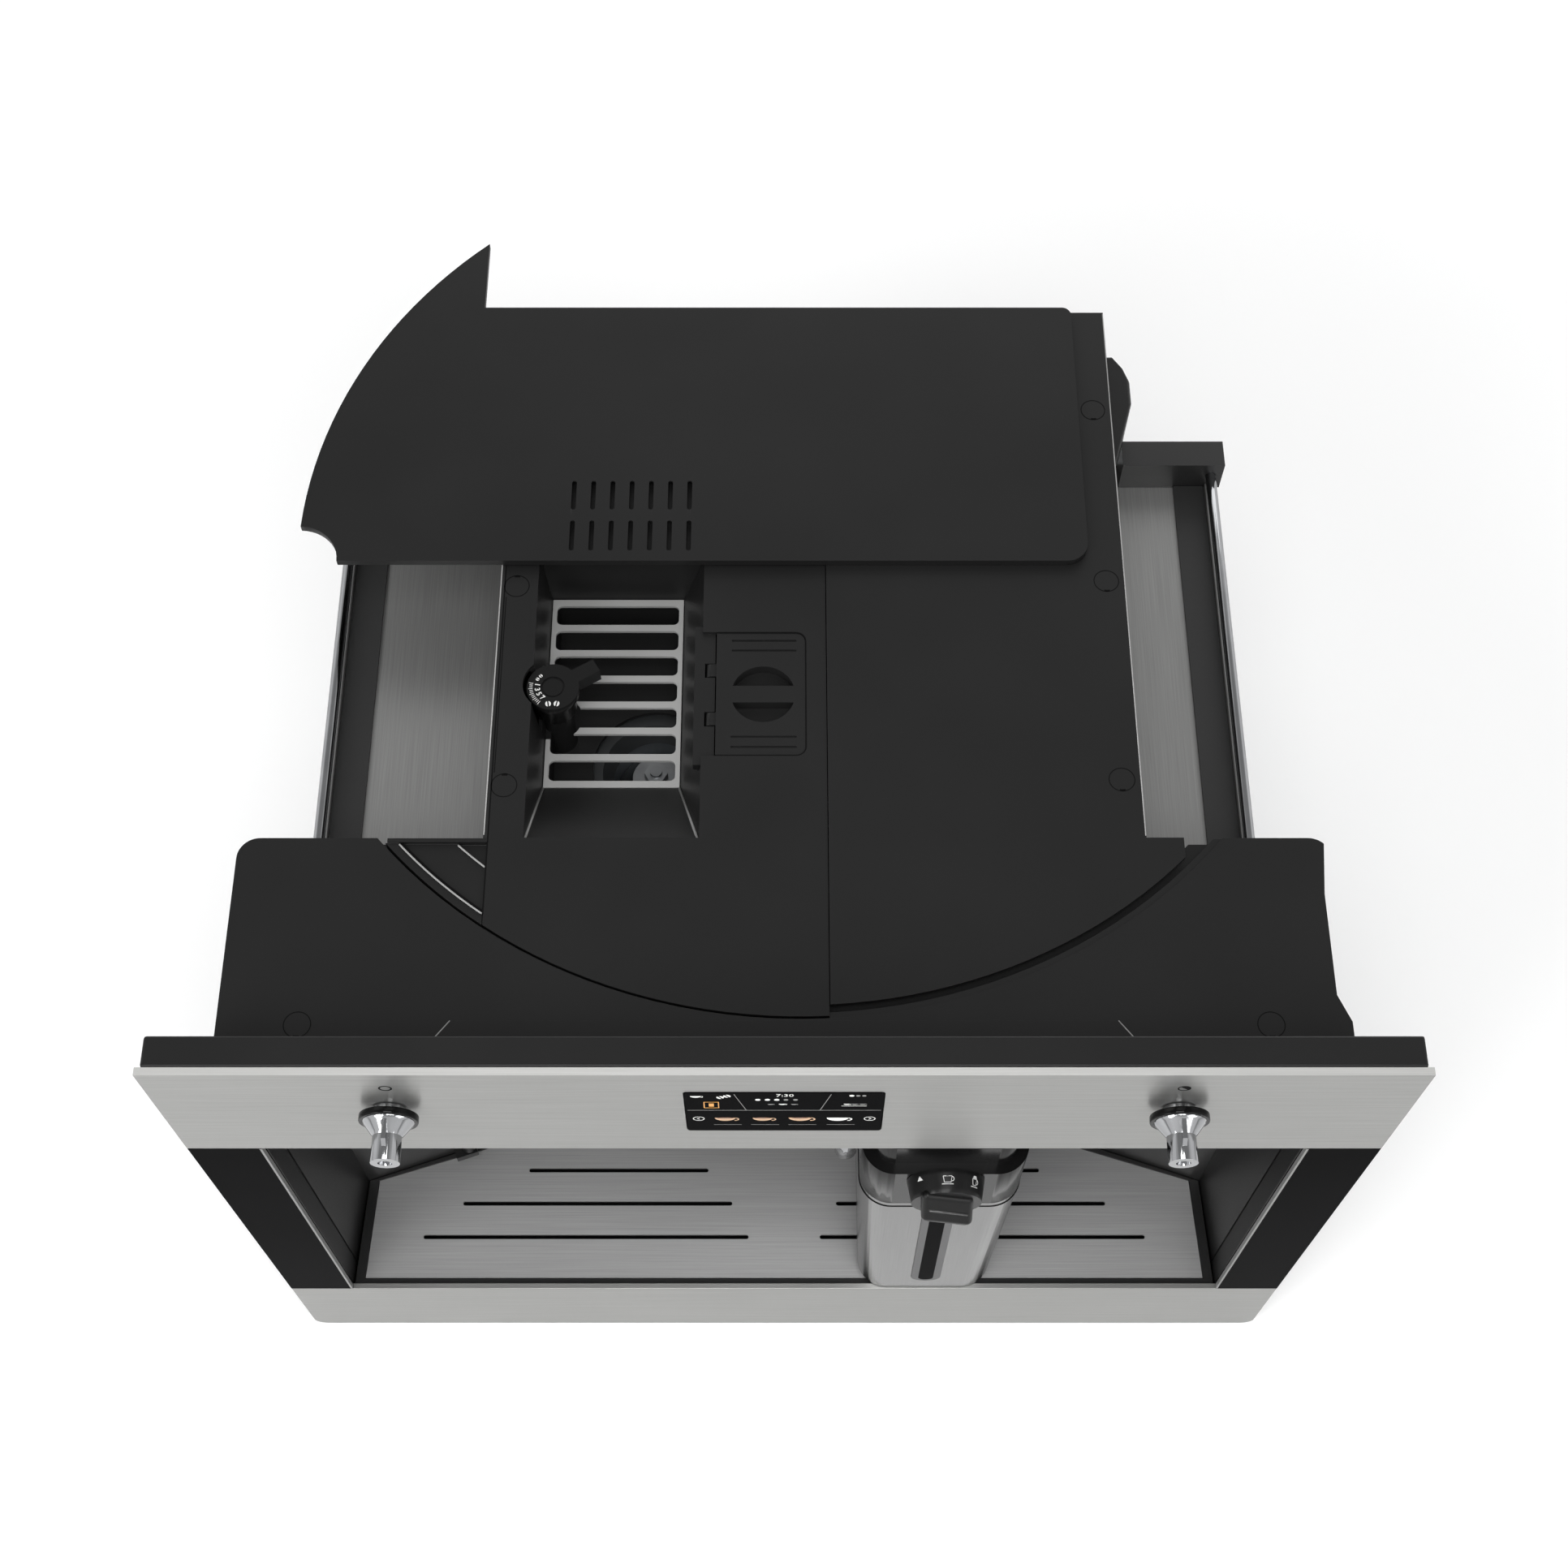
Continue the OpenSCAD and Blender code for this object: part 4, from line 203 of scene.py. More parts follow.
die_cast_aluminium = finish("die_cast_aluminium", cast)
green_board = finish("green_glass_epoxy_board", solder_mask)
lacquered_coil = moulded("lacquered_pump_coil", "#363a3d", "#4e5256",
                         rough=0.42, grain_mm=1.0, depth_mm=0.03)
coat(die_cast_aluminium, "water_heater")
coat(green_board, "control_board", "front_board")
coat(lacquered_coil, "water_pump")
soften(0.4, "water_heater", "water_pump")


# Water tank: clear moulded container in the body's right side, drawn out for filling.
# Copolyester from a polished mould, so light passes with a faint blue tint and a slight haze.
def clear(tree):
    spot = add(tree, "TexCoord").outputs["Object"]
    haze = add(tree, "TexNoise", {"Vector": spot, "Scale": 1000 / 30}).outputs["Fac"]
    gloss = add(tree, "MapRange", {"Value": haze, "To Min": 0.03, "To Max": 0.14})
    tint = add(tree, "Mix", {"Factor": haze, 6: linear("#d6e2e6"), 7: linear("#e6eef0")}, data_type="RGBA")
    return add(tree, "BsdfPrincipled", {
        "Base Color": tint.outputs[2], "Roughness": gloss.outputs["Result"], "IOR": 1.57,
        "Transmission Weight": 0.85}).outputs["BSDF"]


clear_copolyester = finish("clear_copolyester", clear)
coat(clear_copolyester, "water_tank")
soften(0.8, "water_tank")

# Grinder: motor with the burr case, driven cone and toothed adjusting ring, stacked under the hopper.
# The can has satin grey paint, the hardened burr fine rings from its grinding, and the ring is dull nylon.
painted_can = moulded("painted_motor_can", "#45494c", "#5e6265", rough=0.4, grain_mm=0.8)
burr_steel = turned("hardened_burr_steel", "#7b7d7f", "#bcbec0", pitch_mm=0.8, rough=0.34)
ring_nylon = moulded("moulded_ring_nylon", "#262728", "#343637", rough=0.45, grain_mm=1.0)
coat(painted_can, "grinder_motor")
coat(burr_steel, "lower_burr")
coat(ring_nylon, "adjusting_ring")
soften(0.3, "grinder_motor", "lower_burr")

# Bean hopper, grate and ground coffee chute, under the middle cover.
# The hopper is black ABS from a polished mould, smooth and half glossy.
# The grate is light grey ABS with a soft sheen, the chute black ABS from a plain mould.
hopper_abs = moulded("black_abs_half_gloss", "#131313", "#1d1d1d", rough=0.4, depth_mm=0.01, shine=0.25)
grate_abs = moulded("light_grey_abs", "#949493", "#a8a8a7", rough=0.38, depth_mm=0.012)
chute_abs = moulded("black_chute_abs", "#1e1e1e", "#2c2c2c", rough=0.4, grain_mm=0.8)
coat(hopper_abs, "bean_hopper")
coat(grate_abs, "hopper_grate")
coat(chute_abs, "funnel_chute")
soften(0.5, "hopper_grate", "bean_hopper")

# The front's steel is 250 mm ahead of the model's origin, and its foot 2 mm over the floor.
steel_ahead, foot_up = 250, 2


def at(right, back, up):
    """The place so many millimetres right of the front's middle, behind its steel and above its foot."""
    return Vector((right / 1000, (back - steel_ahead) / 1000, (up + foot_up) / 1000))


def place_piece(name, body, material, shape):
    """Turns the finished shape into a piece that moves with a body."""
    bmesh.ops.recalc_face_normals(shape, faces=shape.faces)
    mesh = bpy.data.meshes.new(name)
    shape.to_mesh(mesh)
    shape.free()
    mesh.materials.append(material)
    piece = bpy.data.objects.new(name, mesh)
    bpy.context.scene.collection.objects.link(piece)
    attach(piece, body)


def wrap(shape, loops):
    """Closes a skin round loops of places, from the first to the last."""
    rings = [[shape.verts.new(spot) for spot in loop] for loop in loops]
    for first, second in zip(rings, rings[1:]):
        for k in range(len(first)):
            shape.faces.new((first[k - 1], first[k], second[k], second[k - 1])).smooth = True
    shape.faces.new(rings[0])
    shape.faces.new(rings[-1][::-1])


def beads(name, body, material, radius_mm, runs):
    """Thin round lines through places: rounded edges that catch the light."""
    shape = bmesh.new()
    turns = [math.tau * k / 10 for k in range(10)]
    for run in runs:
        loops = []
        for k, spot in enumerate(run):
            along = (run[min(k + 1, len(run) - 1)] - run[max(k - 1, 0)]).normalized()
            side = along.cross(Vector((0, 0, 1))).normalized()
            rise = along.cross(side)
            loops.append([spot + radius_mm / 1000 * (side * math.cos(turn) + rise * math.sin(turn))
                          for turn in turns])
        wrap(shape, loops)
    place_piece(name, body, material, shape)


# The mould's rounded corners down the hopper's front slope, as round lines in a light grey: painted
# highlights.
painted_highlight_abs = moulded("grey_painted_highlight_abs", "#6f6f6e", "#8a8a89", rough=0.3)
beads("hopper_corner_lines", "machine", painted_highlight_abs, 0.7,
      [[at(-131.3, 144.4, 405.6), at(-127.6, 190.2, 372.6)],
       [at(-43.9, 144.4, 405.6), at(-55.4, 190.2, 372.6)]])

# Housing and covers: thin moulded lids round the works, with plugs over their screws.
# Black ABS with a fine eroded texture and a satin sheen, drawn coarser than its 0.1 mm so that it shows.
# The grip is the same ABS, rubbed glossier by hands.
cover_abs = moulded("black_abs_fine_texture", "#111111", "#1b1b1b", rough=0.44, grain_mm=0.5, shine=0.26)
coat(cover_abs, "front_housing", "mid_cover", "right_cover", "corner_cover", "screw_plugs",
     "hopper_cover", "funnel_door")
grip_abs = moulded("half_gloss_grip_abs", "#141414", "#1e1e1e", rough=0.22, depth_mm=0.01, shine=0.4)
coat(grip_abs, "side_grip")
soften(0.5, "front_housing", "mid_cover", "right_cover", "hopper_cover", "funnel_door")
soften(0.35, "corner_cover")
soften(0.25, "screw_plugs")
soften(1.5, "side_grip")


def arc(across, along, radius, start, end, steps=24):
    """Points on an arc, its angles in degrees."""
    turns = [math.radians(start + (end - start) * k / steps) for k in range(steps + 1)]
    return [(across + radius * math.cos(turn), along + radius * math.sin(turn)) for turn in turns]


def line(points, width):
    """The outline of a line of that width through the points."""
    left, right = [], []
    for k, (x, y) in enumerate(points):
        (x0, y0), (x1, y1) = points[max(k - 1, 0)], points[min(k + 1, len(points) - 1)]
        reach = 2 * math.hypot(x1 - x0, y1 - y0) / width
        left.append((x - (y1 - y0) / reach, y + (x1 - x0) / reach))
        right.append((x + (y1 - y0) / reach, y - (x1 - x0) / reach))
    return left + right[::-1]


def lay(name, body, material, outlines, spot, low=-0.05, high=0.05):
    """Thin flat shapes on a surface: spot turns millimetres across, along and off it into a place."""
    shape = bmesh.new()
    for outline in outlines:
        foot = [shape.verts.new(spot(across, along, low)) for across, along in outline]
        face = [shape.verts.new(spot(across, along, high)) for across, along in outline]
        shape.faces.new(face)
        shape.faces.new(foot[::-1])
        for k in range(len(outline)):
            shape.faces.new((foot[k - 1], foot[k], face[k], face[k - 1]))
    place_piece(name, body, material, shape)


def level(up):
    """The spot of lay for a level surface at that height."""
    return lambda across, along, off: at(across, along, up + off)


def upright(back=0):
    """The spot of lay for an upright surface that faces the front, that far behind the steel."""
    return lambda across, along, off: at(across, back - off, along)


# Shut lines: the dark gaps along the middle cover, round the flap and round each plug.
# A plug's line is thicker at its lifting notch. They are near black, as no light reaches into such a gap.
gap_black = moulded("shut_line_shadow", "#040404", "#0a0a0a", rough=0.7, shine=0.1)
flap_outline = ([(-35, 190.6)] + arc(6.2, 195.8, 5.2, -90, 0, 6)
                + arc(6.2, 259.2, 5.2, 0, 90, 6) + [(-35, 264.4)])
lay("cover_shut_lines", "machine", gap_black,
    [line([(-149.5, 101), (-149.5, 306)], 0.7), line([(-148.4, 180.5), (-148.4, 286.5)], 0.5),
     line(flap_outline, 0.6)], level(409))
for name, top, notch, plugs in (
        ("plug_shut_lines_left", 409, 90, ((-143.1, 173.2), (-143.1, 293.4))),
        ("plug_shut_lines_right", 410, 270, ((172.5, 176), (172.5, 296), (172.5, 409))),
        ("plug_shut_lines_front", 409.5, 270, ((-235.5, 42.5), (235.5, 42.5)))):
    lay(name, "machine", gap_black,
        [line(arc(x, y, 6.6, 0, 360, 32), 0.5) for x, y in plugs]
        + [line(arc(x, y, 6.1, notch - 14, notch + 14, 6), 1.1) for x, y in plugs], level(top))

# The covers' edges that catch the light: the corner cover's two steps, the housing's inset and the sides.
# The moulds' small radii are drawn there as thin light grey lines, painted highlights, and beside the outer
# step lies a near black line, its painted shadow.
cover_edge_highlight = moulded("lit_edge_abs", "#8c8c8b", "#a4a4a3", rough=0.35)
step_middle = (8, 327)
beads("corner_cover_lines", "machine", cover_edge_highlight, 0.5,
      [[at(x, y, up) for x, y in arc(*step_middle, radius, start, end)]
       for radius, start, end, up in ((275.4, 222.9, 235, 409.3), (254.6, 227.4, 231.6, 408))])
lay("corner_cover_shades", "machine", gap_black,
    [line(arc(*step_middle, 273.9, 222.9, 235), 1.2)], level(408.2))
beads("cover_side_lines", "machine", cover_edge_highlight, 0.35,
      [[at(182.3, 144, 409.8), at(182.3, 477, 409.8)], [at(-151.6, 145, 408.9), at(-151.6, 476, 408.9)]])
beads("housing_inset_lines", "machine", painted_highlight_abs, 0.35,
      [[at(side * 180.3, 20.5, 410.4), at(side * 161.6, 44.2, 410.4)] for side in (-1, 1)])


# Sheet screws: pan heads with a cross recess, which hold the walls to the pan and the covers.
# Zinc plated steel, blackened, so they show as small dark domes with a dull sheen.
def on_rear(across, along, off):
    """The rear panel's outer face, by places right and up."""
    return at(across, 478 + off, along)


def on_left_wall(across, along, off):
    """The left wall's outer face, by places back and up."""
    return at(-152 - off, across, along)


screw_black = turned("blackened_screw_steel", "#2a2b2c", "#47494b", pitch_mm=0.6, rough=0.35)
pan_head = ((3.4, -0.1), (3.4, 0.6), (3, 1.2), (1.8, 1.7), (0.3, 1.8))  # radius at each height, in mm
rear_heads = [(x, z) for x in (-144, 173) for z in (24, 210, 394)] + [(14, 394), (14, 24)]
left_heads = [(y, 26) for y in (164, 310, 462)] + [(462, 200), (462, 380)]
for wall, heads, spot in (("rear_panel", rear_heads, on_rear), ("left_wall", left_heads, on_left_wall)):
    domes = bmesh.new()
    turns = [math.tau * k / 16 for k in range(16)]
    for across, along in heads:
        wrap(domes, [[spot(across + wide * math.cos(turn), along + wide * math.sin(turn), tall)
                      for turn in turns] for wide, tall in pan_head])
    place_piece(wall + "_screws", "machine", screw_black, domes)
    # The cross recesses are near black lines standing on the heads: their painted shade.
    crosses = [line([(x - dx, z - dz), (x + dx, z + dz)], 0.7)
               for x, z in heads for dx, dz in ((1.7, 0), (0, 1.7))]
    lay(wall + "_screw_crosses", "machine", gap_black, crosses, spot, low=1.2, high=1.86)

# Grind selector: dial with a lever, collar and toothed foot through the grate.
# Black acetal, smooth and half glossy, with white pad printed marks: figures, ticks and plain beans.
dial_acetal = moulded("black_acetal", "#0f0f0f", "#181818",
                      rough=0.32, grain_mm=0.5, depth_mm=0.01, shine=0.22)
coat(dial_acetal, "grind_knob")
soften(0.4, "grind_knob")


def printed(name, tint):
    """Pad printed ink: matt, and a little thinner where the pad's grain shows."""
    def tree_of(tree):
        spot = add(tree, "TexCoord").outputs["Object"]
        speck = add(tree, "TexNoise", {"Vector": spot, "Scale": 1000 / 0.4}).outputs["Fac"]
        tone = add(tree, "Mix", {"Factor": speck, 6: linear("#a8a8a8"), 7: linear(tint)}, data_type="RGBA")
        return add(tree, "BsdfPrincipled", {
            "Base Color": tone.outputs[2], "Roughness": 0.5}).outputs["BSDF"]
    return finish(name, tree_of)


def figures(text, height, turn=0, across=0, along=0, bolder_mm=0.0):
    """The outlines of plain figures, turned by degrees about their middle and moved to their place."""
    size_per_height = 1.38
    curve = bpy.data.curves.new("figures", "FONT")
    curve.body, curve.size, curve.offset = text, height * size_per_height, bolder_mm
    curve.resolution_u, curve.align_x, curve.align_y = 2, "CENTER", "CENTER"
    holder = bpy.data.objects.new("figures", curve)
    flat = bpy.data.meshes.new_from_object(holder)
    bpy.data.objects.remove(holder)
    cosine, sine = math.cos(math.radians(turn)), math.sin(math.radians(turn))
    return [[(across + x * cosine - y * sine, along + x * sine + y * cosine)
             for x, y in [flat.vertices[v].co.xy for v in face.vertices]] for face in flat.polygons]


def bean(across, along, size, turn):
    """Two halves of a bean with its furrow between them, a quarter longer than wide."""
    apart, radius, longer = 0.09 * size, 0.45 * size, 1.25
    halves = [arc(apart, 0, radius, -85, 85, 8), arc(-apart, 0, radius, 95, 265, 8)]
    cosine, sine = math.cos(math.radians(turn)), math.sin(math.radians(turn))
    return [[(across + x * cosine - longer * y * sine, along + x * sine + longer * y * cosine)
             for x, y in half] for half in halves]


def on_dial(across, along, off):
    """The dial's face, from its own middle."""
    return at(-121.3 + across, 233.2 + along, 405.5 + off)


white_ink = printed("white_pad_print", "#f2f2f0")
first_tick, sweep, ticks, figure_radius = 169, 65, 13, 8.3
dial_marks = []
for tick in range(ticks):
    turn = math.radians(first_tick + tick * sweep / (ticks - 1))
    reach = 12.4 if tick % 3 else 12.9
    dial_marks.append(line([(r * math.cos(turn), r * math.sin(turn)) for r in (10.6, reach)], 0.35))
for figure, degrees in (("1", 171), ("3", 191), ("5", 211), ("7", 231)):
    turn = math.radians(degrees)
    dial_marks += figures(figure, 2.8, degrees + 90, figure_radius * math.cos(turn),
                          figure_radius * math.sin(turn), bolder_mm=0.09)
for across, along, size, degrees in ((-6.6, 6.6, 1.7, 45), (-8.2, 4.6, 1.7, 60),
                                     (-2, -10.2, 2.8, 10), (2.4, -10.1, 2.8, -12)):
    dial_marks += bean(across, along, size, degrees)
lay("grind_dial_marks", "grind_selector", white_ink, dial_marks, on_dial)


# Cup racks beside the body: steel shelves with a lip, rods, rubber mats and rear brackets.
# Stainless sheet brushed front to rear, with a soft streaked sheen, and mirror bright chrome plated rods.
# The brackets are black nylon, satin, and the mats black rubber, nearly matt.
def brushed(name, dark, light, run, rough, metal=1.0, depth_mm=0.01):
    """Stainless sheet brushed along run, its lines drawn wider than the real 0.1 mm to show.
    Below 1, metal keeps the steel pale where this plain studio has nothing bright for it to mirror."""
    line_length_mm, line_width_mm = 60, 0.6

    def tree_of(tree):
        spot = add(tree, "TexCoord").outputs["Object"]
        spacing = [1000 / (line_length_mm if axis == run else line_width_mm) for axis in "XYZ"]
        stretched = add(tree, "Mapping", {"Vector": spot, "Scale": spacing}).outputs["Vector"]
        lines = add(tree, "TexNoise", {"Vector": stretched, "Scale": 1.0, "Detail": 3.0}).outputs["Fac"]
        cloud = add(tree, "TexNoise", {"Vector": spot, "Scale": 1000 / 120}).outputs["Fac"]
        tone = add(tree, "Mix", {"Factor": lines, 6: linear(dark), 7: linear(light)}, data_type="RGBA")
        gloss = add(tree, "MapRange", {"Value": cloud, "To Min": rough - 0.06, "To Max": rough + 0.06})
        relief = add(tree, "Bump", {"Height": lines, "Distance": depth_mm / 1000})
        across = add(tree, "Tangent", direction_type="RADIAL", axis=run).outputs["Tangent"]
        return add(tree, "BsdfPrincipled", {
            "Base Color": tone.outputs[2], "Metallic": metal, "Roughness": gloss.outputs["Result"],
            "Anisotropic": 0.6, "Tangent": across, "Normal": relief.outputs["Normal"]}).outputs["BSDF"]
    return finish(name, tree_of)


def chrome(tree):
    spot = add(tree, "TexCoord").outputs["Object"]
    wear = add(tree, "TexNoise", {"Vector": spot, "Scale": 1000 / 14}).outputs["Fac"]
    tone = add(tree, "Mix", {"Factor": wear, 6: linear("#999a9c"), 7: linear("#b3b4b6")}, data_type="RGBA")
    gloss = add(tree, "MapRange", {"Value": wear, "To Min": 0.04, "To Max": 0.16})
    return add(tree, "BsdfPrincipled", {
        "Base Color": tone.outputs[2], "Metallic": 1.0,
        "Roughness": gloss.outputs["Result"]}).outputs["BSDF"]


rack_steel = brushed("brushed_rack_steel", "#8f8f8e", "#b4b4b3", "Y", rough=0.36, metal=0.75)
rack_nylon = moulded("black_rack_nylon", "#171717", "#222222", rough=0.4, grain_mm=0.7)
chrome_plating = finish("polished_chrome_plating", chrome)
mat_rubber = moulded("black_mat_rubber", "#1b1b1b", "#262626", rough=0.5, grain_mm=3.0, depth_mm=0.05)
coat(rack_steel, "left_rack", "right_rack")
coat(rack_nylon, "rack_fittings")

# Rods, mats and brackets are one node. The brackets stand behind the rest, and the rods outside the mats.
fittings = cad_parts["rack_fittings"].data
chrome_slot, rubber_slot = len(fittings.materials), len(fittings.materials) + 1
fittings.materials.append(chrome_plating)
fittings.materials.append(mat_rubber)
bracket_back, rod_across, rod_up = 406.9, 245.1, 346.5
for face in fittings.polygons:
    across, back = abs(face.center.x) * 1000, face.center.y * 1000 + steel_ahead
    if back < bracket_back:
        is_rod = across > rod_across and face.center.z * 1000 - foot_up > rod_up
        face.material_index = chrome_slot if is_rod else rubber_slot
soften(0.4, "left_rack", "right_rack", "rack_fittings")

# Front frame: one black moulding behind the steel and the glass, which holds them and the board.
# The covers' ABS and texture, seen as a satin black edge round the front.
coat(cover_abs, "front_frame")
soften(1.6, "front_frame")

# Steel strips: upper strip with the display's cutout, and the drip drawer's front.
# Stainless sheet 1 mm thick, belt brushed along its length, so it shows fine level streaks.
# The upper strip's folded top has a paler, less metallic steel: painted light, for the light falling on it
# from above. Its edges carry near white lines: painted highlights.
front_steel = brushed("brushed_front_steel", "#8c8c8a", "#a9a9a7", "X",
                      rough=0.34, metal=0.85, depth_mm=0.004)
top_face_light_steel = brushed("painted_light_top_face_steel", "#a8a8a6", "#bebebc", "X",
                       rough=0.5, metal=0.35, depth_mm=0.004)
edge_highlight_steel = brushed("painted_highlight_steel_edge", "#e6e6e4", "#f6f6f4", "X", rough=0.4, metal=0.1)
coat(front_steel, "top_strip", "bottom_strip")
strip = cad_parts["top_strip"].data
painted_light_slot, flange_height = len(strip.materials), 0.45
strip.materials.append(top_face_light_steel)
for face in strip.polygons:
    if face.normal.z > 0.9 and face.center.z > flange_height:
        face.material_index = painted_light_slot
soften(0.7, "top_strip", "bottom_strip", whole_faces=True)
# Near white round lines along the upper strip's two front edges: painted highlights.
beads("strip_edge_lines", "machine", edge_highlight_steel, 0.34,
      [[at(-297, back, 454.6), at(297, back, 454.6)] for back in (0.4, 3.7)])


# Glass beside the niche and over the display: float glass, printed black behind.
# Its face is polished. Its reflection is kept far below real glass's, so that it stays deep black
# in this white studio. The inner edges are ground, and the light grey lines along them are painted
# highlights.
def printed_glass(tree):
    spot = add(tree, "TexCoord").outputs["Object"]
    wave = add(tree, "TexNoise", {"Vector": spot, "Scale": 1000 / 90}).outputs["Fac"]
    tone = add(tree, "Mix", {"Factor": wave, 6: linear("#060606"), 7: linear("#0e0e0f")}, data_type="RGBA")
    gloss = add(tree, "MapRange", {"Value": wave, "To Min": 0.03, "To Max": 0.08})
    return add(tree, "BsdfPrincipled", {
        "Base Color": tone.outputs[2], "Roughness": gloss.outputs["Result"],
        "Specular IOR Level": 0.002}).outputs["BSDF"]


black_printed_glass = finish("black_printed_float_glass", printed_glass)
coat(black_printed_glass, "glass_sides", "display_glass")
soften(0.5, "glass_sides", "display_glass")
edge_line_highlight = moulded("ground_glass_edge_painted_highlight", "#6a6a69", "#868685", rough=0.4)
lay("glass_ground_edges", "machine", edge_line_highlight,
    [line([(side * 261, 84), (side * 261, 349)], 1.2) for side in (-1, 1)],
    upright(), low=-2.5, high=0.04)


# Display: the picture that a lit panel shows through its glass: a clock, dots, cups and plain beans.
# Its square dots glow softly. They are laid on the glass, because that is modelled opaque.
def lit(name, tint, glow):
    """A lit picture element: square dots in a dark grid, drawn wider than the real 0.1 mm to show."""
    def tree_of(tree):
        spot = add(tree, "TexCoord").outputs["Object"]
        turned_up = add(tree, "Mapping", {"Vector": spot, "Rotation": (math.radians(90), 0, 0)})
        dots = add(tree, "TexBrick", {
            "Vector": turned_up.outputs["Vector"], "Scale": 1000 / 0.5, "Color1": linear(tint),
            "Color2": linear(tint), "Mortar": linear("#3a3a3a"), "Mortar Size": 0.04,
            "Brick Width": 1.0, "Row Height": 1.0}, offset=0.0).outputs["Color"]
        return add(tree, "BsdfPrincipled", {
            "Base Color": dots, "Roughness": 0.3, "Emission Color": dots,
            "Emission Strength": glow}).outputs["BSDF"]
    return finish(name, tree_of)


def cup(across, along, size, slim=1.0):
    """A cup from the side: bowl and handle."""
    bowl = [(across + (x - across) * slim, along + 0.3 * size + (y - along) * 0.85)
            for x, y in arc(across, along, size / 2, 180, 360, 12)]
    handle = arc(across + 0.47 * size * slim, along + 0.1 * size, 0.17 * size, 100, -100, 8)
    return [bowl, line(handle, 0.07 * size)]


def disc(across, along, radius):
    """A round dot."""
    return arc(across, along, radius, 0, 345, 23)


on_display = upright(-0.4)
# White: three dots, the clock, a cup with beans, small cups, an arrow in a ring at both sides and a cup.
bright = [disc(x, 423, 1.25) for x in (-12.4, -7.9, -3.5)]
bright += figures("7:30", 3.6, across=0.3, along=428.8)
bright += cup(-41.5, 426.6, 5.2) + bean(-30, 426.2, 3.2, 30) + bean(-26.8, 428, 3.2, 30)
bright += cup(-0.9, 416.3, 3.4)
bright += [disc(31.6, 428.6, 1.2), line([(27, 414.4), (39, 414.4)], 0.35)] + cup(29.5, 416.4, 3)
for side in (-1, 1):
    middle = side * 41
    arrow = [(middle - side * 0.5, 397.4), (middle + side * 0.7, 396.2), (middle - side * 0.5, 395)]
    bright += [line(arc(middle, 396.2, 2.6, 0, 360), 0.4), line(arrow, 0.4)]
bright += cup(25.6, 394.4, 10.5)
lay("display_bright_signs", "machine", lit("lit_white_dots", "#e9e9e6", glow=0.25), bright, on_display)
# Grey: the dots and cups that aren't chosen, and the dividing lines.
faint = [disc(x, 423, 1.1) for x in (0.8, 5.3)] + [disc(x, 428.6, 1) for x in (34.6, 37.4)]
faint += cup(-6.4, 416.3, 2.8) + cup(4.6, 416.3, 2.8) + cup(33.2, 416.4, 3) + cup(37, 416.4, 3)
faint += [line([(-46, 408.3), (46, 408.3)], 0.35), line([(-23.5, 430.6), (-18, 408.4)], 0.3),
          line([(22, 430.6), (17, 408.4)], 0.3)]
faint += [line([(x - 6.5, 387.6), (x + 7, 387.6)], 0.3) for x in (-27.5, -9.5, 8.5, 27)]
lay("display_faint_signs", "machine", lit("lit_grey_dots", "#7f7f7d", glow=0.1), faint, on_display)
# Amber: the frame round the chosen sign. Cream and brown: three cups and the coffee in them.
amber = [line([(-37.8, 411.7), (-31, 411.7), (-31, 419.7), (-37.8, 419.7), (-37.8, 411.7)], 0.6),
         [(-35.6, 413.6), (-33.2, 413.6), (-33.2, 417.8), (-35.6, 417.8)]]
lay("display_amber_sign", "machine", lit("lit_amber_dots", "#d9962e", glow=0.3), amber, on_display)
cream = cup(-28.3, 394.4, 10) + cup(-10.3, 394.4, 9.6) + cup(7.6, 394.4, 11)
lay("display_cup_signs", "machine", lit("lit_cream_dots", "#c9a079", glow=0.2), cream, on_display)
oval = [math.radians(degrees) for degrees in range(0, 360, 15)]
brown = [[(x + 3.9 * math.cos(turn), 397.2 + 0.8 * math.sin(turn)) for turn in oval]
         for x in (-28.3, -10.3, 7.6)]
lay("display_coffee_signs", "machine", lit("lit_brown_dots", "#7a4a24", glow=0.15), brown, on_display,
    low=0.04, high=0.09)

# Knobs: cone, cylinder and fin in one piece, pushed on the encoder's shaft through the panel.
# Zinc die casting, polished and chrome plated, which mirrors its surroundings.
# The ring behind it is glossy black ABS. The small signs above the knobs are pad printed on the steel.
gloss_abs = moulded("gloss_black_abs", "#060606", "#0b0b0b",
                    rough=0.12, grain_mm=1.5, depth_mm=0.003, shine=0.14)
coat(chrome_plating, "knob_left", "knob_right")
coat(gloss_abs, "ring_left", "ring_right")
soften(0.5, "knob_left", "knob_right", "ring_left", "ring_right")
black_ink = moulded("black_pad_print", "#070707", "#101010", rough=0.6, grain_mm=0.4, shine=0.1)
sign_up, sign_radius = 437.5, 2.8
knob_signs = [line(arc(-185, sign_up, sign_radius, 0, 360), 0.9),
              line(arc(185.5, sign_up, sign_radius, 0, 360), 0.7),
              arc(185.5, sign_up, sign_radius, -45, 135, 14)]
lay("knob_signs", "machine", black_ink, knob_signs, upright(), high=0.04)

# Niche moulding and service door: black walls of the recess, between the front and the bulkhead.
# ABS from a finely grained mould, glossier than the covers.
niche_abs = moulded("black_niche_abs", "#131313", "#1c1c1c", rough=0.33, depth_mm=0.015, shine=0.35)
coat(niche_abs, "niche_liner", "service_door")
soften(0.8, "service_door", whole_faces=True)

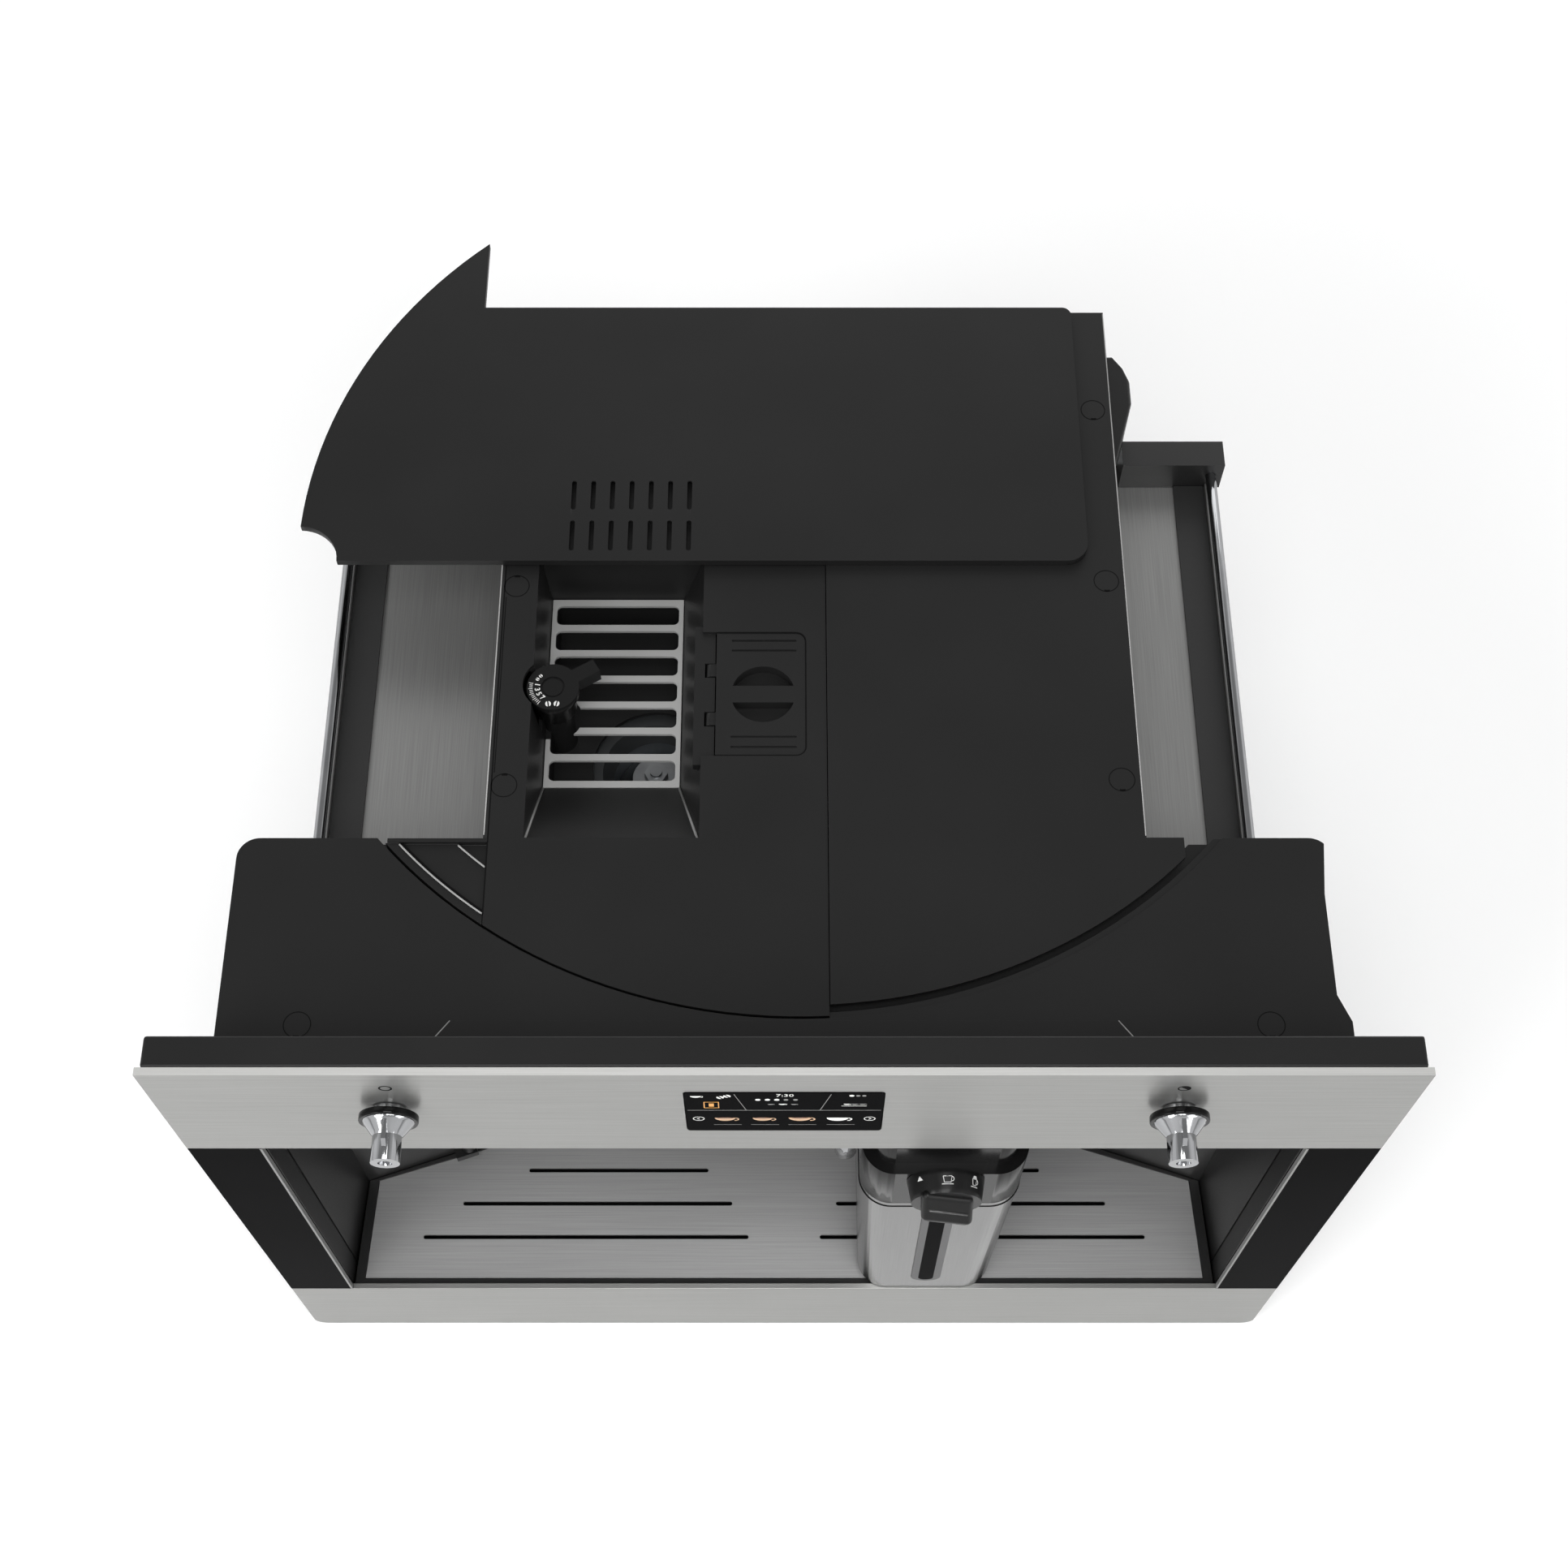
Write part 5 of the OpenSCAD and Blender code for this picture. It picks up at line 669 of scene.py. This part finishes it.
# Drip drawer: basin, loose grille and the grounds container, which slide out together.
# The grille is stainless, glass bead blasted and then brushed, so it scatters more light than the front.
# Basin and container are black ABS with a satin sheen.
tray_steel = brushed("blasted_tray_steel", "#8f8f8f", "#adadad", "X", rough=0.44, metal=0.6)
basin_abs = moulded("black_basin_abs", "#141414", "#1e1e1e", rough=0.38, grain_mm=0.7)
coat(tray_steel, "drip_grille")
coat(basin_abs, "drip_basin", "grounds_container")
soften(0.8, "drip_basin", "grounds_container")

# Coffee spout: guide, sliding body and two nozzles. The steam port and milk spout have the same finishes.
# Black ABS on the niche's rear wall, and chrome plated nozzles that mirror it.
coat(niche_abs, "spout_guide", "spout_body", "steam_dock")
coat(chrome_plating, "spout_nozzles", "milk_spout")
soften(1.0, "spout_body", "spout_guide", "steam_dock")
soften(0.4, "spout_nozzles", "milk_spout")

# Milk carafe: steel vessel with a level window, lid, foam dial and tube.
# The vessel is drawn stainless brushed upward, so its highlights run up and down in soft bands.
# The lid is half gloss black ABS, the dial acetal, the window dull grey ABS and the tube milky silicone.
carafe_steel = brushed("brushed_carafe_steel", "#707070", "#8a8a8a", "Z", rough=0.24, depth_mm=0.004)
lid_abs = moulded("half_gloss_lid_abs", "#0d0d0d", "#161616",
                  rough=0.22, grain_mm=0.8, depth_mm=0.006, shine=0.2)
window_grey = moulded("grey_window_frame", "#363637", "#444446", rough=0.4)
tube_silicone = moulded("milk_tube_silicone", "#c4c6c7", "#dadcdd", rough=0.4, grain_mm=2, depth_mm=0.01)
coat(carafe_steel, "carafe_body")
coat(lid_abs, "carafe_lid")
coat(window_grey, "carafe_window")
coat(dial_acetal, "carafe_dial")
coat(tube_silicone, "carafe_tube")
soften(1.2, "carafe_lid", "carafe_dial")
lid_line = ([(40.5, 80)] + arc(57.5, 18, 17, 180, 270, 12)
            + arc(110.5, 18, 17, 270, 360, 12) + [(127.5, 80)])
beads("lid_shut_line", "carafe", gap_black, 0.4, [[at(x, y, 249) for x, y in lid_line]])
slot_outline = arc(84, 107.3, 4.4, 180, 360, 16) + [(88.4, 253), (79.6, 253)]
lay("level_slot", "carafe", black_printed_glass, [slot_outline], upright(0.4), low=-0.5)


# Foam dial signs: a plain arrow, a cup and a slim cup with foam, pad printed white round the drum.
# The lever's two grip ridges along its front edges are drawn in a lighter grey acetal: painted highlights.
def on_drum(across, along, off):
    """The drum tapers by 2 mm over its 12 mm, and across is measured round a radius of 20 mm."""
    radius = 20.25 - 2 * (0.98 - along) / 12 + off
    return at(84 + radius * math.sin(across / 20), along, 295 + radius * math.cos(across / 20))


dial_signs = [[(-18, -3.7), (-14.2, -3.7), (-16.1, -1.4)]]
sign_foot = -6.9
for middle, wide in ((-0.4, 4.6), (15.8, 3.2)):
    left, right, brim, bottom = middle - wide / 2, middle + wide / 2, sign_foot + 4, sign_foot + 0.9
    bowl = [(left, brim), (left + 0.5, bottom), (right - 0.5, bottom), (right, brim), (left, brim)]
    saucer = [(middle + reach * (wide / 2 + 0.8), sign_foot) for reach in (-1, -0.6, -0.2, 0.2, 0.6, 1)]
    dial_signs += [line(bowl, 0.36), line(arc(right, sign_foot + 2.6, 1.1, 90, -90, 8), 0.34),
                   line(saucer, 0.4)]
dial_signs.append([(14.3, -2.6), (15.8, -2.6), (17.3, -2.6), (16.6, -1.3), (15, -1.3)])
lay("foam_dial_signs", "foam_dial", white_ink, dial_signs, on_drum, low=-0.3, high=0.17)

ridge_highlight_acetal = moulded("painted_highlight_acetal_ridge", "#3a3a3a", "#4a4a4a", rough=0.25)
lever_face = -19.72
beads("lever_grip_ridges", "foam_dial", ridge_highlight_acetal, 0.75,
      [[at(74, lever_face, left_up + lean * 2.2), at(94, lever_face, left_up - 7.5 + lean * 2.2)]
       for left_up, lean in ((307.75, 1), (295.75, -1))])

# Power inlet and rocker switch, set into openings of the rear panel.
# Moulded nylon, self extinguishing and so slightly duller than the covers.
coat(rack_nylon, "power_inlet", "rocker_switch")
soften(0.4, "power_inlet", "rocker_switch")

# Studio: plain pale floor, white surroundings, soft lamps and the camera at the photograph's angle.
# The surroundings darken overhead, where a studio has its ceiling, so black plastics stay black.
floor_sheet = bmesh.new()
bmesh.ops.create_grid(floor_sheet, x_segments=1, y_segments=1, size=6)
floor_mesh = bpy.data.meshes.new("studio_floor")
floor_sheet.to_mesh(floor_mesh)
floor_sheet.free()
floor = bpy.data.objects.new("studio_floor", floor_mesh)
bpy.context.scene.collection.objects.link(floor)


def pale_floor(tree):
    """Matt and nearly white. For the camera alone it glows more further out, to meet the white around."""
    dust = add(tree, "TexNoise", {"Scale": 3.0}).outputs["Fac"]
    tone = add(tree, "Mix", {"Factor": dust, 6: linear("#f0f0f0"), 7: linear("#f8f8f8")}, data_type="RGBA")
    place = add(tree, "TexCoord").outputs["Object"]
    away = add(tree, "VectorMath", {0: place}, operation="LENGTH").outputs["Value"]
    white = add(tree, "MapRange", {
        "Value": away, "From Min": 0.6, "From Max": 3.5, "To Min": 0.14, "To Max": 0.6})
    seen = add(tree, "LightPath").outputs["Is Camera Ray"]
    lift = add(tree, "Math", {0: seen, 1: white.outputs["Result"]}, operation="MULTIPLY").outputs[0]
    return add(tree, "BsdfPrincipled", {
        "Base Color": tone.outputs[2], "Roughness": 0.9, "Specular IOR Level": 0.2,
        "Emission Color": linear("#ffffff"), "Emission Strength": lift}).outputs["BSDF"]


floor.data.materials.append(finish("matt_studio_floor", pale_floor))

world = bpy.data.worlds.new("white_studio")
bpy.context.scene.world = world
world.use_nodes = True
sky = world.node_tree
sky.nodes.clear()
rays = add(sky, "LightPath").outputs
upward = add(sky, "SeparateXYZ", {"Vector": add(sky, "TexCoord").outputs["Generated"]}).outputs["Z"]
ceiling = add(sky, "MapRange", {
    "Value": upward, "From Min": 0.45, "From Max": 0.85, "To Min": 1.0, "To Max": 0.34})
seen = add(sky, "Math", {0: rays["Is Camera Ray"], 1: rays["Is Transmission Ray"]},
           operation="MAXIMUM")
mirrored = add(sky, "Mix", {"Factor": rays["Is Glossy Ray"], 2: 0.5, 3: ceiling.outputs["Result"]})
strength = add(sky, "Mix", {"Factor": seen.outputs[0], 2: mirrored.outputs[0], 3: 1.0}).outputs[0]
backdrop = add(sky, "Background", {"Color": linear("#ffffff"), "Strength": strength})
add(sky, "OutputWorld", {"Surface": backdrop.outputs["Background"]})

aim = Vector((0, 0, 0.2))
for name, place, watts, size in (("lamp_front_left", (-1.3, -1.4, 1.5), 21, 1.0),
                                 ("lamp_front_right", (1.4, -1.4, 1.4), 9, 1.0),
                                 ("lamp_rear", (0.3, 1.9, 0.9), 10, 1.6),
                                 ("lamp_overhead", (0, -0.85, 2.1), 18, 0.9)):
    lamp = bpy.data.lights.new(name, "AREA")
    lamp.energy, lamp.size = watts, size
    holder = bpy.data.objects.new(name, lamp)
    holder.location = place
    holder.rotation_euler = (aim - Vector(place)).to_track_quat("-Z", "Y").to_euler()
    bpy.context.scene.collection.objects.link(holder)

# The camera's place, tilt and lens were solved from the front's four corners in the photograph.
lens = bpy.data.cameras.new("photo_camera")
lens.sensor_width, lens.lens = 36, 51.35
lens.clip_start, lens.clip_end = 0.01, 50
camera = bpy.data.objects.new("photo_camera", lens)
camera.location = (-0.0001, -0.6038, 1.4239)
camera.rotation_euler = (math.radians(27.52), 0, 0)
bpy.context.scene.collection.objects.link(camera)
bpy.context.scene.camera = camera
bpy.context.scene.view_settings.view_transform = "Standard"
